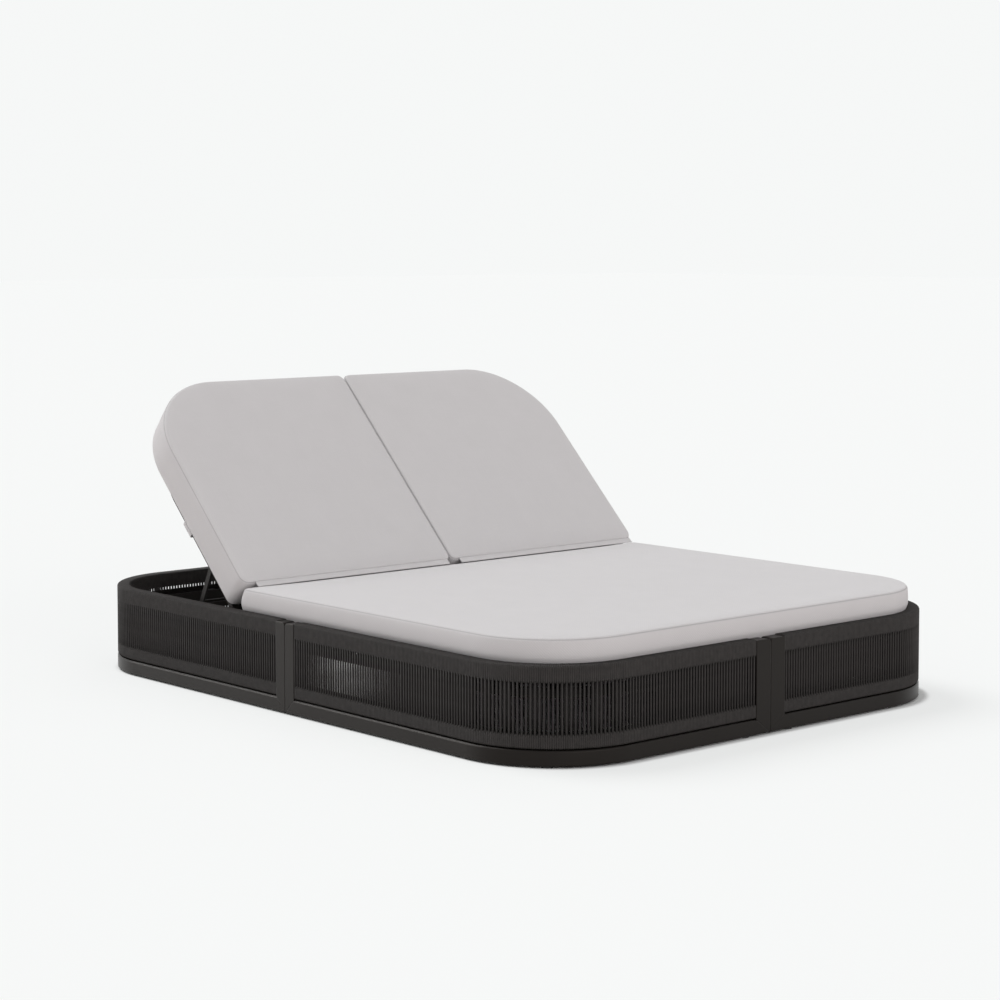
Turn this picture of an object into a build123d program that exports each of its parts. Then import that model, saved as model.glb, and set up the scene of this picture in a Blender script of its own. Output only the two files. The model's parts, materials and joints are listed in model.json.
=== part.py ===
"""Double chaise lounger: a low rope-walled frame with two reclining backs.

The frame stands on the floor at z = 0. +X runs across the width, and the foot
end is at -Y. The backs are modelled where the top notch holds them, tilted by
rest_angle. Each back turns on pins at deck height, its cushion rides up the
back frame on two loops as it rises, and a folding stay with a foot rod props
it on a pair of toothed racks.
"""

import os
from math import cos, radians, sin, sqrt

from build123d import *

os.makedirs("parts", exist_ok=True)

# Overall sizes
length = 2085.0
width = 1600.0
corner_radius = 288.0
foot_height = 4.0
foot_radius = 14.0

# Frame rails and posts
wall_depth = 39.0
rail_height = 40.0
rail_edge = 3.0
tube_wall = 2.5
split_gap = 1.5
side_post_width = 39.2
end_post_width = 54.0
post_height = 247.0
post_round = 12.0

# Rope wall
rope_set_back = 3.0
rope_clearance = 0.3
rope_size = 5.5
rope_edge = 9.0
strand_size = 5.0
strand_pitch = 10.9
lower_band_gap = 3.6
lower_band_height = 36.4
open_height = 129.5
upper_band_height = 40.5
corner_sectors = 4

# Deck
deck_height = 184.0
deck_rail_height = 20.0
deck_rail_width = 30.0
lip_rise = 14.5
lip_drop = 30.0
lip_thickness = 4.0
lip_set_back = 40.0
lip_end = 110.0
beam_width = 34.0
spine_width = 40.0
slat_thickness = 15.0
slat_width = 62.0
slat_spacing = 108.0
slat_first = 58.0
slat_clearance = 3.0
slat_edge = 3.0

# Links that join the four frame modules
link_width = 70.0
link_height = 84.0
link_thickness = 4.0
link_above_rail = 22.0
screw_radius = 3.0
screw_clearance = 0.15
screw_depth = 14.0
screw_head_radius = 5.5
screw_head_height = 3.3
screw_margin = 14.0

# Seat cushion
soft_clearance = 0.4
seat_share = 0.6303
seam_height = 307.0
seat_rear_radius = 26.0
seam_overhang = 2.0
seat_lean = 6.0
rise_shares = (0.0, 0.55, 0.9, 1.0)
lean_shares = (1.0, 0.38, 0.0, 0.15)
crown_height = 11.0
crown_run = 70.0
crown_shares = (0.06, 0.2, 0.5, 1.0)
crown_power = 0.6

# Back cushions
rest_angle = 45.0
over_angle = 4.0
head_overhang = 9.3
back_cushion_thickness = 107.0
back_corner_radius = 247.0
back_small_radius = 16.0
back_split = 3.0
back_lean = 6.0
head_lean = 21.0
low_lean = 2.0
corner_swell = 21.0
flat_end_gap = 6.9
slide_travel = 92.7

# Back hinge
hinge_drop = 4.0
hinge_set_back = 19.6
pin_radius = 4.0
pin_clearance = 0.08
lug_radius = 10.0
lug_thickness = 6.0
lug_reach = 27.0
knuckle_thickness = 12.0
knuckle_gap = 1.0
knuckle_inset = 42.0
pin_head_radius = 6.5
pin_head_height = 2.0

# Back frame
back_bar_depth = 12.0
back_bar_width = 18.0
back_bar_inset = 18.0
back_inner_inset = 8.0
back_bar_start = 12.0
frame_end_gap = 16.0
back_frame_corner = 232.0
back_slat_width = 40.0
back_slat_thickness = 6.0
low_slat_share = 0.0595
high_slat_share = 0.772
loop_low_gap = 9.0
loop_high_gap = 15.0
mount_bar_width = 12.0
mount_bar_depth = 8.0
boss_radius = 8.0

# Stays and racks
stay_reach_share = 0.40623
stay_length_share = 0.30071
stay_angle = 110.25
arm_inset = 38.0
stay_width = 16.0
stay_thickness = 6.0
stay_gap = 2.0
stay_end_gap = 0.5
brace_share = 0.8
rod_radius = 5.0
rack_thickness = 10.0
rack_inset = 13.0
rod_overrun = 1.0
rack_clearance = 0.6
rack_drop = 30.0
seat_count = 6
seat_step = 5.0
seat_land = 0.6
notch_depth = 6.0
rack_beam_width = 20.0
rack_front_gap = 3.7
rack_rear_gap = 5.0

# Cushion loops and rest pads
loop_share = 0.379
loop_width = 50.0
loop_thickness = 2.3
loop_clearance = 0.4
loop_round = 4.0
pad_length = 40.0
pad_width = 12.0
pad_clearance = 0.4
pad_shares = (0.25, 0.85)

# Worked-out heights and places
half_width = width / 2
half_length = length / 2
rail_base = foot_height
rail_top = rail_base + rail_height
corner_x = half_width - corner_radius
corner_y = half_length - corner_radius
inner_x = half_width - wall_depth
inner_y = half_length - wall_depth
rope_depth = wall_depth - rope_set_back - rope_clearance
rope_inset = rope_set_back + rope_depth / 2
strand_inset = rope_set_back + rope_size / 2
lower_band_base = rail_top + lower_band_gap
lower_band_top = lower_band_base + lower_band_height
upper_band_base = lower_band_top + open_height
side_post_end = split_gap / 2 + side_post_width
end_post_end = split_gap / 2 + end_post_width
deck_top = foot_height + deck_height
deck_base = deck_top - deck_rail_height
deck_rail_inset = wall_depth + deck_rail_width / 2
deck_inner_x = inner_x - deck_rail_width
deck_inner_y = inner_y - deck_rail_width
deck_inner_radius = corner_radius - wall_depth - deck_rail_width
seam_z = foot_height + seam_height
seat_front = -inner_y
seat_rear = seat_front + 2 * inner_y * seat_share + soft_clearance
hinge_y = seat_rear + hinge_set_back
hinge_z = deck_top - hinge_drop
back_frame_length = inner_y - frame_end_gap - hinge_y
hinge_beam_rear = hinge_y - lug_reach
hinge_to_seam = seam_z - hinge_z
hinge_to_cushion = hinge_to_seam - back_cushion_thickness
hinge_to_bar_top = hinge_to_cushion - soft_clearance
hinge_to_bar = hinge_to_bar_top - back_bar_depth
hinge_to_slat = hinge_to_bar_top - back_slat_thickness
cushion_start = slide_travel - hinge_set_back + flat_end_gap
back_cushion_length = inner_y + head_overhang - seat_rear - flat_end_gap
cushion_end = cushion_start + back_cushion_length
back_outer_x = inner_x + seam_overhang
back_bar_outer = back_outer_x - back_bar_inset
back_bar_inner = back_inner_inset
back_middle_x = (back_bar_outer + back_bar_inner) / 2
back_half_span = (back_bar_outer - back_bar_inner) / 2
arm_offset = back_half_span - back_bar_width - arm_inset
rack_offset = back_half_span - back_bar_width - rack_inset
stay_reach = back_frame_length * stay_reach_share
stay_length = back_frame_length * stay_length_share
brace_reach = stay_length * brace_share
loop_start = cushion_start + back_cushion_length * loop_share - loop_width / 2
back_slat_starts = (
    back_frame_length * low_slat_share,
    loop_start - slide_travel - loop_low_gap - back_slat_width,
    loop_start + loop_width + loop_high_gap,
    back_frame_length * high_slat_share,
)

back_plane = Plane(
    origin=(0, hinge_y, hinge_z),
    x_dir=(1, 0, 0),
    z_dir=(0, -sin(radians(rest_angle)), cos(radians(rest_angle))),
)


def save(part, name):
    """Label a finished piece and write its file."""
    part.label = name
    export_step(part, f"parts/{name}.step")


def save_pair(part, name):
    """Write the left piece and its mirror image on the right."""
    save(part, f"{name}_left")
    save(mirror(part, about=Plane.YZ), f"{name}_right")


def save_quarters(part, name):
    """Write the foot left piece and its three mirror images."""
    save_pair(part, f"{name}_foot")
    save_pair(mirror(part, about=Plane.XZ), f"{name}_head")


def quarter_path(inset, height, side_end, foot_end):
    """Draw the foot left quarter of the outline, inset and level."""
    with BuildLine(Plane.XY.offset(height)) as path:
        Line((inset - half_width, -side_end), (inset - half_width, -corner_y))
        CenterArc((-corner_x, -corner_y), corner_radius - inset, 180, 90)
        Line((-corner_x, inset - half_length), (-foot_end, inset - half_length))
    return path.wires()[0]


def side_plane(inset, side_end, height):
    """Give the upright section plane where a quarter's side begins."""
    return Plane(
        origin=(inset - half_width, -side_end, height),
        x_dir=(1, 0, 0),
        z_dir=(0, -1, 0),
    )


def side_mitre():
    """Give the sloping weld plane between base rail and side post."""
    return Plane(
        origin=(0, -split_gap / 2, rail_base),
        x_dir=(1, 0, 0),
        z_dir=(0, rail_height, side_post_width),
    )


def end_mitre():
    """Give the sloping weld plane between base rail and end post."""
    return Plane(
        origin=(-split_gap / 2, 0, rail_base),
        x_dir=(0, 1, 0),
        z_dir=(rail_height, 0, end_post_width),
    )


# Base rails, mitred into the posts at both ends
rail_middle = rail_base + rail_height / 2
with BuildPart() as base_rail:
    with BuildSketch(side_plane(wall_depth / 2, split_gap / 2, rail_middle)) as rail_section:
        Rectangle(wall_depth, rail_height)
        chamfer(rail_section.vertices(), length=rail_edge)
        Rectangle(wall_depth - 2 * tube_wall, rail_height - 2 * tube_wall, mode=Mode.SUBTRACT)
    sweep(path=quarter_path(wall_depth / 2, rail_middle, split_gap / 2, split_gap / 2))
    split(bisect_by=side_mitre(), keep=Keep.BOTTOM)
    split(bisect_by=end_mitre(), keep=Keep.BOTTOM)
save_quarters(base_rail.part, "base_rail")

# Posts at the middle of each side, rounded at the split and drilled for the links
link_middle = rail_top + link_above_rail + link_height / 2
screw_rise = link_height / 2 - screw_margin
screw_reach = split_gap / 2 + side_post_width / 2
with BuildPart() as side_post:
    with BuildSketch(Plane.YZ.offset(-half_width)):
        with BuildLine():
            Polyline(
                (-split_gap / 2, rail_base),
                (-split_gap / 2, rail_base + post_height),
                (-side_post_end, rail_base + post_height),
                (-side_post_end, rail_top),
                close=True,
            )
        make_face()
    extrude(amount=wall_depth)
    side_crest = side_post.edges().filter_by(Axis.X).group_by(Axis.Z)[-1]
    fillet(side_crest.sort_by(Axis.Y)[-1], radius=post_round)
    with BuildSketch(Plane.YZ.offset(-inner_x)):
        with Locations((-screw_reach, link_middle + screw_rise), (-screw_reach, link_middle - screw_rise)):
            Circle(screw_radius + screw_clearance)
    extrude(amount=-screw_depth, mode=Mode.SUBTRACT)
save_quarters(side_post.part, "side_post")

with BuildPart() as end_post:
    with BuildSketch(Plane.XZ.offset(half_length)):
        with BuildLine():
            Polyline(
                (-split_gap / 2, rail_base),
                (-split_gap / 2, rail_base + post_height),
                (-end_post_end, rail_base + post_height),
                (-end_post_end, rail_top),
                close=True,
            )
        make_face()
    extrude(amount=-wall_depth)
    end_crest = end_post.edges().filter_by(Axis.Y).group_by(Axis.Z)[-1]
    fillet(end_crest.sort_by(Axis.X)[-1], radius=post_round)
    with BuildSketch(Plane.XZ.offset(inner_y)):
        with Locations((-screw_reach, link_middle + screw_rise), (-screw_reach, link_middle - screw_rise)):
            Circle(screw_radius + screw_clearance)
    extrude(amount=screw_depth, mode=Mode.SUBTRACT)
save_quarters(end_post.part, "end_post")

# Rail tubes that the rope is wound on, hidden inside the two bands
bands = (
    (lower_band_base + lower_band_height / 2, lower_band_height),
    (upper_band_base + upper_band_height / 2, upper_band_height),
)
core_depth = rope_depth - 2 * rope_size
with BuildPart() as rope_rails:
    for band_middle, band_height in bands:
        core_height = band_height - 2 * rope_size
        with BuildSketch(side_plane(rope_inset, side_post_end, band_middle)) as core_section:
            Rectangle(core_depth, core_height)
            Rectangle(core_depth - 2 * tube_wall, core_height - 2 * tube_wall, mode=Mode.SUBTRACT)
        sweep(
            sections=core_section.sketch,
            path=quarter_path(rope_inset, band_middle, side_post_end, end_post_end),
        )
save_quarters(rope_rails.part, "rope_rails")


def band_section(plane, band_height):
    """Draw the chamfered section of a rope band around its rail tube."""
    with BuildSketch(plane) as section:
        Rectangle(rope_depth, band_height)
        chamfer(section.vertices(), length=rope_edge)
        Rectangle(core_depth, band_height - 2 * rope_size, mode=Mode.SUBTRACT)
    return section.sketch


def straight_panel(start, along, outward, run):
    """Make a flat length of rope wall: two bands joined by upright strands."""
    count = round(run / strand_pitch)
    shift = rope_inset - strand_inset
    strand_x = start[0] + along[0] * run / 2 + outward[0] * shift
    strand_y = start[1] + along[1] * run / 2 + outward[1] * shift
    with BuildPart() as panel:
        for band_middle, band_height in bands:
            band_plane = Plane(origin=(start[0], start[1], band_middle), x_dir=outward, z_dir=along)
            extrude(band_section(band_plane, band_height), amount=run)
        with BuildSketch(Plane(origin=(strand_x, strand_y, lower_band_top - rope_edge), x_dir=along)):
            with GridLocations(run / count, strand_size, count, 1):
                Rectangle(strand_size, strand_size)
        extrude(amount=open_height + 2 * rope_edge)
    return panel.part.solids()


def corner_panel(index):
    """Make one sector of the rope wall around the corner."""
    sector = 90 / corner_sectors
    start_angle = 180 + index * sector
    radial = (cos(radians(start_angle)), sin(radians(start_angle)), 0)
    tangent = (radial[1], -radial[0], 0)
    band_radius = corner_radius - rope_inset
    count = round(radians(sector) * corner_radius / strand_pitch)
    with BuildPart() as panel:
        for band_middle, band_height in bands:
            band_plane = Plane(
                origin=(band_radius * radial[0] - corner_x, band_radius * radial[1] - corner_y, band_middle),
                x_dir=radial,
                z_dir=tangent,
            )
            revolve(
                band_section(band_plane, band_height),
                axis=Axis((-corner_x, -corner_y, 0), (0, 0, 1)),
                revolution_arc=sector,
            )
        with BuildSketch(Plane(origin=(-corner_x, -corner_y, lower_band_top - rope_edge), x_dir=(1, 0, 0))):
            with PolarLocations(
                corner_radius - strand_inset, count, start_angle + sector / count / 2, sector
            ):
                Rectangle(strand_size, strand_size)
        extrude(amount=open_height + 2 * rope_edge)
    return panel.part.solids()


# Rope wall panels, one quarter each, as flat lengths and corner sectors
rope_pieces = straight_panel(
    (rope_inset - half_width, -side_post_end), (0, -1, 0), (-1, 0, 0), corner_y - side_post_end
)
for sector_index in range(corner_sectors):
    rope_pieces += corner_panel(sector_index)
rope_pieces += straight_panel(
    (-end_post_end, rope_inset - half_length), (-1, 0, 0), (0, -1, 0), corner_x - end_post_end
)
save_quarters(Compound(children=rope_pieces), "rope_panel")

# Deck rails along the inside of the walls
deck_middle = deck_base + deck_rail_height / 2
with BuildPart() as deck_rail:
    with BuildSketch(side_plane(deck_rail_inset, split_gap / 2, deck_middle)):
        Rectangle(deck_rail_width, deck_rail_height)
        Rectangle(deck_rail_width - 2 * tube_wall, deck_rail_height - 2 * tube_wall, mode=Mode.SUBTRACT)
    sweep(path=quarter_path(deck_rail_inset, deck_middle, split_gap / 2, split_gap / 2))
save_quarters(deck_rail.part, "deck_rail")

# Flat bars on and under the deck rails at the head, close beside the rope
lip_inset = wall_depth + lip_thickness / 2
lip_start = hinge_y + lip_set_back
with BuildPart() as head_lips:
    for lip_middle, lip_height in (
        (deck_top + lip_rise / 2, lip_rise),
        (deck_base - lip_drop / 2, lip_drop),
    ):
        with BuildSketch(side_plane(lip_inset, lip_start, lip_middle)):
            Rectangle(lip_thickness, lip_height)
        sweep(path=quarter_path(lip_inset, lip_middle, lip_start, lip_end))
save_pair(mirror(head_lips.part, about=Plane.XZ), "head_lips")

# Link plates that bolt the four frame modules together at the splits
with BuildPart() as link_plates:
    with BuildSketch(Plane.YZ.offset(-inner_x)):
        with Locations((0, link_middle)):
            Rectangle(link_width, link_height)
            with GridLocations(2 * screw_reach, 2 * screw_rise, 2, 2):
                Circle(screw_radius + screw_clearance, mode=Mode.SUBTRACT)
    extrude(amount=link_thickness)
    mirror(about=Plane.YZ)
    with BuildSketch(Plane.XZ.offset(inner_y)):
        with Locations((0, link_middle)):
            Rectangle(link_width, link_height)
            with GridLocations(2 * screw_reach, 2 * screw_rise, 2, 2):
                Circle(screw_radius + screw_clearance, mode=Mode.SUBTRACT)
    end_link = extrude(amount=-link_thickness)
    mirror(end_link, about=Plane.XZ)
save(link_plates.part, "link_plates")

with BuildPart() as link_screws:
    with BuildSketch(Plane.YZ.offset(link_thickness - inner_x)):
        with Locations((0, link_middle)):
            with GridLocations(2 * screw_reach, 2 * screw_rise, 2, 2):
                Circle(screw_head_radius)
    extrude(amount=screw_head_height)
    with BuildSketch(Plane.YZ.offset(link_thickness - inner_x)):
        with Locations((0, link_middle)):
            with GridLocations(2 * screw_reach, 2 * screw_rise, 2, 2):
                Circle(screw_radius)
    extrude(amount=-screw_depth)
    mirror(about=Plane.YZ)
    with BuildSketch(Plane.XZ.offset(inner_y - link_thickness)):
        with Locations((0, link_middle)):
            with GridLocations(2 * screw_reach, 2 * screw_rise, 2, 2):
                Circle(screw_head_radius)
    end_heads = extrude(amount=-screw_head_height)
    with BuildSketch(Plane.XZ.offset(inner_y - link_thickness)):
        with Locations((0, link_middle)):
            with GridLocations(2 * screw_reach, 2 * screw_rise, 2, 2):
                Circle(screw_radius)
    end_shanks = extrude(amount=screw_depth)
    mirror((end_heads, end_shanks), about=Plane.XZ)
save(link_screws.part, "link_screws")

# Glide feet under the corners and beside the posts
foot_ring = corner_radius - wall_depth / 2
foot_corner = foot_ring * cos(radians(45))
foot_side = side_post_end + 2 * foot_radius
foot_end = end_post_end + 2 * foot_radius
with BuildPart() as glide_feet:
    with BuildSketch(Plane.XY):
        with Locations(
            (-corner_x - foot_corner, -corner_y - foot_corner),
            (wall_depth / 2 - half_width, -foot_side),
            (-foot_end, wall_depth / 2 - half_length),
        ):
            Circle(foot_radius)
    extrude(amount=foot_height)
    mirror(about=Plane.YZ)
    mirror(about=Plane.XZ)
save(glide_feet.part, "glide_feet")

# Beams that cross the deck rails, and the spine under the seat
hinge_beam_front = hinge_beam_rear - beam_width
with BuildPart() as hinge_beam:
    with BuildSketch(Plane.YZ.offset(-deck_inner_x)):
        with Locations((hinge_beam_rear - beam_width / 2, deck_middle)):
            Rectangle(beam_width, deck_rail_height)
            Rectangle(beam_width - 2 * tube_wall, deck_rail_height - 2 * tube_wall, mode=Mode.SUBTRACT)
    extrude(amount=2 * deck_inner_x)
save(hinge_beam.part, "hinge_beam")

with BuildPart() as seat_spine:
    with BuildSketch(Plane.XZ.offset(deck_inner_y)):
        with Locations((0, deck_middle)):
            Rectangle(spine_width, deck_rail_height)
            Rectangle(spine_width - 2 * tube_wall, deck_rail_height - 2 * tube_wall, mode=Mode.SUBTRACT)
    extrude(amount=-(deck_inner_y + hinge_beam_front))
save(seat_spine.part, "seat_spine")


def foot_place(tilt):
    """Give the foot rod's Y and Z with the backs tilted by tilt degrees."""
    swing = tilt * (1 - stay_angle / rest_angle)
    place_y = hinge_y + stay_reach * cos(radians(tilt)) + stay_length * cos(radians(swing))
    place_z = hinge_z + stay_reach * sin(radians(tilt)) + stay_length * sin(radians(swing))
    return place_y, place_z


rack_front = foot_place(rest_angle + over_angle)[0] - rod_radius - rack_front_gap
rack_rear = foot_place(0)[0] + stay_width / 2 + rack_rear_gap
rack_beam_places = (rack_front - rack_beam_width / 2, rack_rear + rack_beam_width / 2)
with BuildPart() as rack_beams:
    with BuildSketch(Plane.XY.offset(deck_base)):
        for beam_y in rack_beam_places:
            with Locations((0, beam_y)):
                Rectangle(2 * deck_inner_x, rack_beam_width)
        RectangleRounded(2 * deck_inner_x, 2 * deck_inner_y, deck_inner_radius, mode=Mode.INTERSECT)
    extrude(amount=deck_rail_height)
    with BuildSketch(Plane.YZ.offset(-deck_inner_x)):
        for beam_y in rack_beam_places:
            with Locations((beam_y, deck_middle)):
                Rectangle(rack_beam_width - 2 * tube_wall, deck_rail_height - 2 * tube_wall)
    extrude(amount=2 * deck_inner_x, mode=Mode.SUBTRACT)
save(rack_beams.part, "rack_beams")

# Toothed racks, whose crests follow the foot rod's path just below it
rack_base = deck_top - rack_drop
rod_stand = rod_radius + rack_clearance
rack_points = [foot_place(rest_angle + over_angle)]
for seat_index in range(seat_count):
    seat_tilt = rest_angle - seat_step * seat_index
    land_start = foot_place(seat_tilt + seat_land)
    land_end = foot_place(seat_tilt - seat_land)
    notch_y, notch_z = foot_place(seat_tilt - seat_step / 2)
    rack_points += [land_start, land_end, (notch_y, notch_z - notch_depth)]
rack_points.pop()
rack_outline = [(point_y, point_z - rod_stand) for point_y, point_z in rack_points]
rack_outline.insert(0, (rack_front, rack_outline[0][1]))
rack_outline.append((rack_rear, rack_outline[-1][1]))
rack_outline += [(rack_rear, rack_base), (rack_front, rack_base)]
with BuildPart() as racks:
    for rack_x in (-back_middle_x - rack_offset, -back_middle_x + rack_offset):
        with BuildSketch(Plane.YZ.offset(rack_x - rack_thickness / 2)):
            with BuildLine():
                Polyline(*rack_outline, close=True)
            make_face()
        extrude(amount=rack_thickness)
save_pair(racks.part, "racks")

# Seat slats on the deck rails, shortened at the rounded foot
slat_first_y = -deck_inner_y + slat_first
slat_last_y = hinge_beam_rear - slat_width / 2
slat_count = round((slat_last_y - slat_first_y) / slat_spacing) + 1
wall_corner_radius = corner_radius - wall_depth - slat_clearance
with BuildPart() as seat_slats:
    for slat_index in range(slat_count):
        slat_y = slat_first_y + (slat_last_y - slat_first_y) * slat_index / (slat_count - 1)
        reach_y = max(slat_width / 2 - slat_y - corner_y, 0)
        slat_reach = corner_x + sqrt(wall_corner_radius**2 - reach_y**2)
        with BuildSketch(Plane.YZ.offset(-slat_reach)):
            with Locations((slat_y, deck_top + slat_thickness / 2)):
                RectangleRounded(slat_width, slat_thickness, slat_edge)
                Rectangle(slat_width - 2 * tube_wall, slat_thickness - 2 * tube_wall, mode=Mode.SUBTRACT)
        extrude(amount=2 * slat_reach)
save(seat_slats.part, "seat_slats")

# Hinge lugs welded behind the hinge beam, and the pins across them
hinge_places = (
    -back_bar_outer + knuckle_inset,
    -back_bar_inner - knuckle_inset,
)
lug_offset = knuckle_thickness / 2 + knuckle_gap + lug_thickness / 2
with BuildPart() as hinge_lugs:
    for hinge_x in hinge_places:
        for lug_x in (hinge_x - lug_offset, hinge_x + lug_offset):
            with BuildSketch(Plane.YZ.offset(lug_x - lug_thickness / 2)):
                with Locations((hinge_y, hinge_z)):
                    Circle(lug_radius)
                with Locations(((hinge_beam_rear + hinge_y) / 2, hinge_z)):
                    Rectangle(hinge_y - hinge_beam_rear, 2 * lug_radius)
                with Locations((hinge_y, hinge_z)):
                    Circle(pin_radius + pin_clearance, mode=Mode.SUBTRACT)
            extrude(amount=lug_thickness)
    mirror(about=Plane.YZ)
save(hinge_lugs.part, "hinge_lugs")

pin_reach = lug_offset + lug_thickness / 2
with BuildPart() as hinge_pins:
    for hinge_x in hinge_places:
        with BuildSketch(Plane.YZ.offset(hinge_x)):
            with Locations((hinge_y, hinge_z)):
                Circle(pin_radius)
        extrude(amount=pin_reach + pin_head_height, both=True)
        for head_x in (hinge_x - pin_reach - pin_head_height, hinge_x + pin_reach):
            with BuildSketch(Plane.YZ.offset(head_x)):
                with Locations((hinge_y, hinge_z)):
                    Circle(pin_head_radius)
            extrude(amount=pin_head_height)
    mirror(about=Plane.YZ)
save(hinge_pins.part, "hinge_pins")


def back_side(place_x):
    """Give the upright plane at place_x whose X runs up the back."""
    return Plane(
        origin=(place_x, hinge_y, hinge_z),
        x_dir=(0, cos(radians(rest_angle)), sin(radians(rest_angle))),
        z_dir=(1, 0, 0),
    )


# Back frame: bottom tube with its knuckles, side tubes, bent top tube and slats
back_bar_end = back_bar_start + back_bar_width
with BuildPart() as back_bottom_bar:
    with BuildSketch(back_plane.offset(hinge_to_bar)):
        with Locations((-back_middle_x, back_bar_start + back_bar_width / 2)):
            Rectangle(back_bar_outer - back_bar_inner, back_bar_width)
    extrude(amount=back_bar_depth)
    for hinge_x in hinge_places:
        with BuildSketch(back_side(hinge_x - knuckle_thickness / 2)):
            Circle(lug_radius)
            with Locations((back_bar_end / 2, 0)):
                Rectangle(back_bar_end, 2 * hinge_to_bar)
            Circle(pin_radius + pin_clearance, mode=Mode.SUBTRACT)
        extrude(amount=knuckle_thickness)
save_pair(back_bottom_bar.part, "back_bottom_bar")

back_bend_start = back_frame_length - back_frame_corner
back_top_start = back_frame_length - back_bar_width
with BuildPart() as back_side_bars:
    with BuildSketch(back_plane.offset(hinge_to_bar)):
        with Locations((back_bar_width / 2 - back_bar_outer, (back_bar_end + back_bend_start) / 2)):
            Rectangle(back_bar_width, back_bend_start - back_bar_end)
        with Locations((-back_bar_inner - back_bar_width / 2, (back_bar_end + back_top_start) / 2)):
            Rectangle(back_bar_width, back_top_start - back_bar_end)
    extrude(amount=back_bar_depth)
save_pair(back_side_bars.part, "back_side_bars")

back_bend_x = back_frame_corner - back_bar_outer
with BuildPart() as back_top_bar:
    with BuildSketch(back_plane.offset(hinge_to_bar)):
        with BuildLine():
            outer_bend = CenterArc((back_bend_x, back_bend_start), back_frame_corner, 90, 90)
            outer_top = Line(outer_bend @ 0, (-back_bar_inner, back_frame_length))
            top_cap = Line(outer_top @ 1, (-back_bar_inner, back_top_start))
            Line(top_cap @ 1, (back_bend_x, back_top_start))
            inner_bend = CenterArc(
                (back_bend_x, back_bend_start), back_frame_corner - back_bar_width, 90, 90
            )
            Line(inner_bend @ 1, outer_bend @ 1)
        make_face()
    extrude(amount=back_bar_depth)
save_pair(back_top_bar.part, "back_top_bar")

back_slat_reach = back_bar_outer - back_bar_inner
opening_left = back_bar_width - back_bar_outer
opening_right = -back_bar_inner - back_bar_width
with BuildPart() as back_slats:
    with BuildSketch(back_plane.offset(hinge_to_slat)):
        for slat_start in back_slat_starts:
            with Locations((-back_middle_x, slat_start + back_slat_width / 2)):
                Rectangle(back_slat_reach, back_slat_width)
        with BuildLine():
            opening_bend = CenterArc(
                (back_bend_x, back_bend_start), back_frame_corner - back_bar_width, 90, 90
            )
            Polyline(
                opening_bend @ 1,
                (opening_left, back_bar_end),
                (opening_right, back_bar_end),
                (opening_right, back_top_start),
                opening_bend @ 0,
            )
        make_face(mode=Mode.INTERSECT)
    extrude(amount=back_slat_thickness)
save_pair(back_slats.part, "back_slats")

# Bars under the slats that carry the stays on their pins
mount_start = back_slat_starts[1]
mount_end = back_slat_starts[2] + back_slat_width
arm_places = (-back_middle_x - arm_offset, -back_middle_x + arm_offset)
mount_shift = stay_thickness / 2 + stay_gap + mount_bar_width / 2
mount_places = (arm_places[0] - mount_shift, arm_places[1] + mount_shift)
with BuildPart() as stay_mounts:
    for mount_x in mount_places:
        with BuildSketch(back_side(mount_x - mount_bar_width / 2)):
            with Locations(((mount_start + mount_end) / 2, hinge_to_slat - mount_bar_depth / 2)):
                Rectangle(mount_end - mount_start, mount_bar_depth)
            with Locations((stay_reach, hinge_to_slat / 2)):
                Rectangle(2 * boss_radius, hinge_to_slat)
            with Locations((stay_reach, 0)):
                Circle(boss_radius)
                Circle(pin_radius + pin_clearance, mode=Mode.SUBTRACT)
        extrude(amount=mount_bar_width)
save_pair(stay_mounts.part, "stay_mounts")

stay_pin_length = mount_bar_width + stay_gap + stay_thickness + stay_end_gap
with BuildPart() as stay_pins:
    for pin_x, pin_way in ((mount_places[0], 1), (mount_places[1], -1)):
        with BuildSketch(back_side(pin_x - pin_way * mount_bar_width / 2)):
            with Locations((stay_reach, 0)):
                Circle(pin_radius)
        extrude(amount=pin_way * stay_pin_length)
        with BuildSketch(back_side(pin_x + pin_way * (stay_pin_length - mount_bar_width / 2))):
            with Locations((stay_reach, 0)):
                Circle(pin_head_radius)
        extrude(amount=pin_way * pin_head_height)
save_pair(stay_pins.part, "stay_pins")

# Folding stays: two arms on the pins, a brace rod and the foot rod
pivot_y = hinge_y + stay_reach * cos(radians(rest_angle))
pivot_z = hinge_z + stay_reach * sin(radians(rest_angle))
stay_lean = radians(rest_angle - stay_angle)


def stay_side(place_x):
    """Give the upright plane at place_x whose X runs down the stay."""
    return Plane(
        origin=(place_x, pivot_y, pivot_z),
        x_dir=(0, cos(stay_lean), sin(stay_lean)),
        z_dir=(1, 0, 0),
    )


with BuildPart() as stay_arms:
    for arm_x in arm_places:
        with BuildSketch(stay_side(arm_x - stay_thickness / 2)):
            with Locations((stay_length / 2, 0)):
                SlotCenterToCenter(stay_length, stay_width)
            Circle(pin_radius + pin_clearance, mode=Mode.SUBTRACT)
            with Locations((stay_length, 0)):
                Circle(rod_radius, mode=Mode.SUBTRACT)
        extrude(amount=stay_thickness)
save_pair(stay_arms.part, "stay_arms")

rod_reach = rack_offset + rack_thickness / 2 + rod_overrun
brace_half = arm_offset - stay_thickness / 2
with BuildPart() as stay_rods:
    with BuildSketch(stay_side(-back_middle_x - brace_half)):
        with Locations((brace_reach, 0)):
            Circle(rod_radius)
    extrude(amount=2 * brace_half)
    with BuildSketch(stay_side(-back_middle_x - rod_reach)):
        with Locations((stay_length, 0)):
            Circle(rod_radius)
    extrude(amount=2 * rod_reach)
save_pair(stay_rods.part, "stay_rods")

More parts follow.
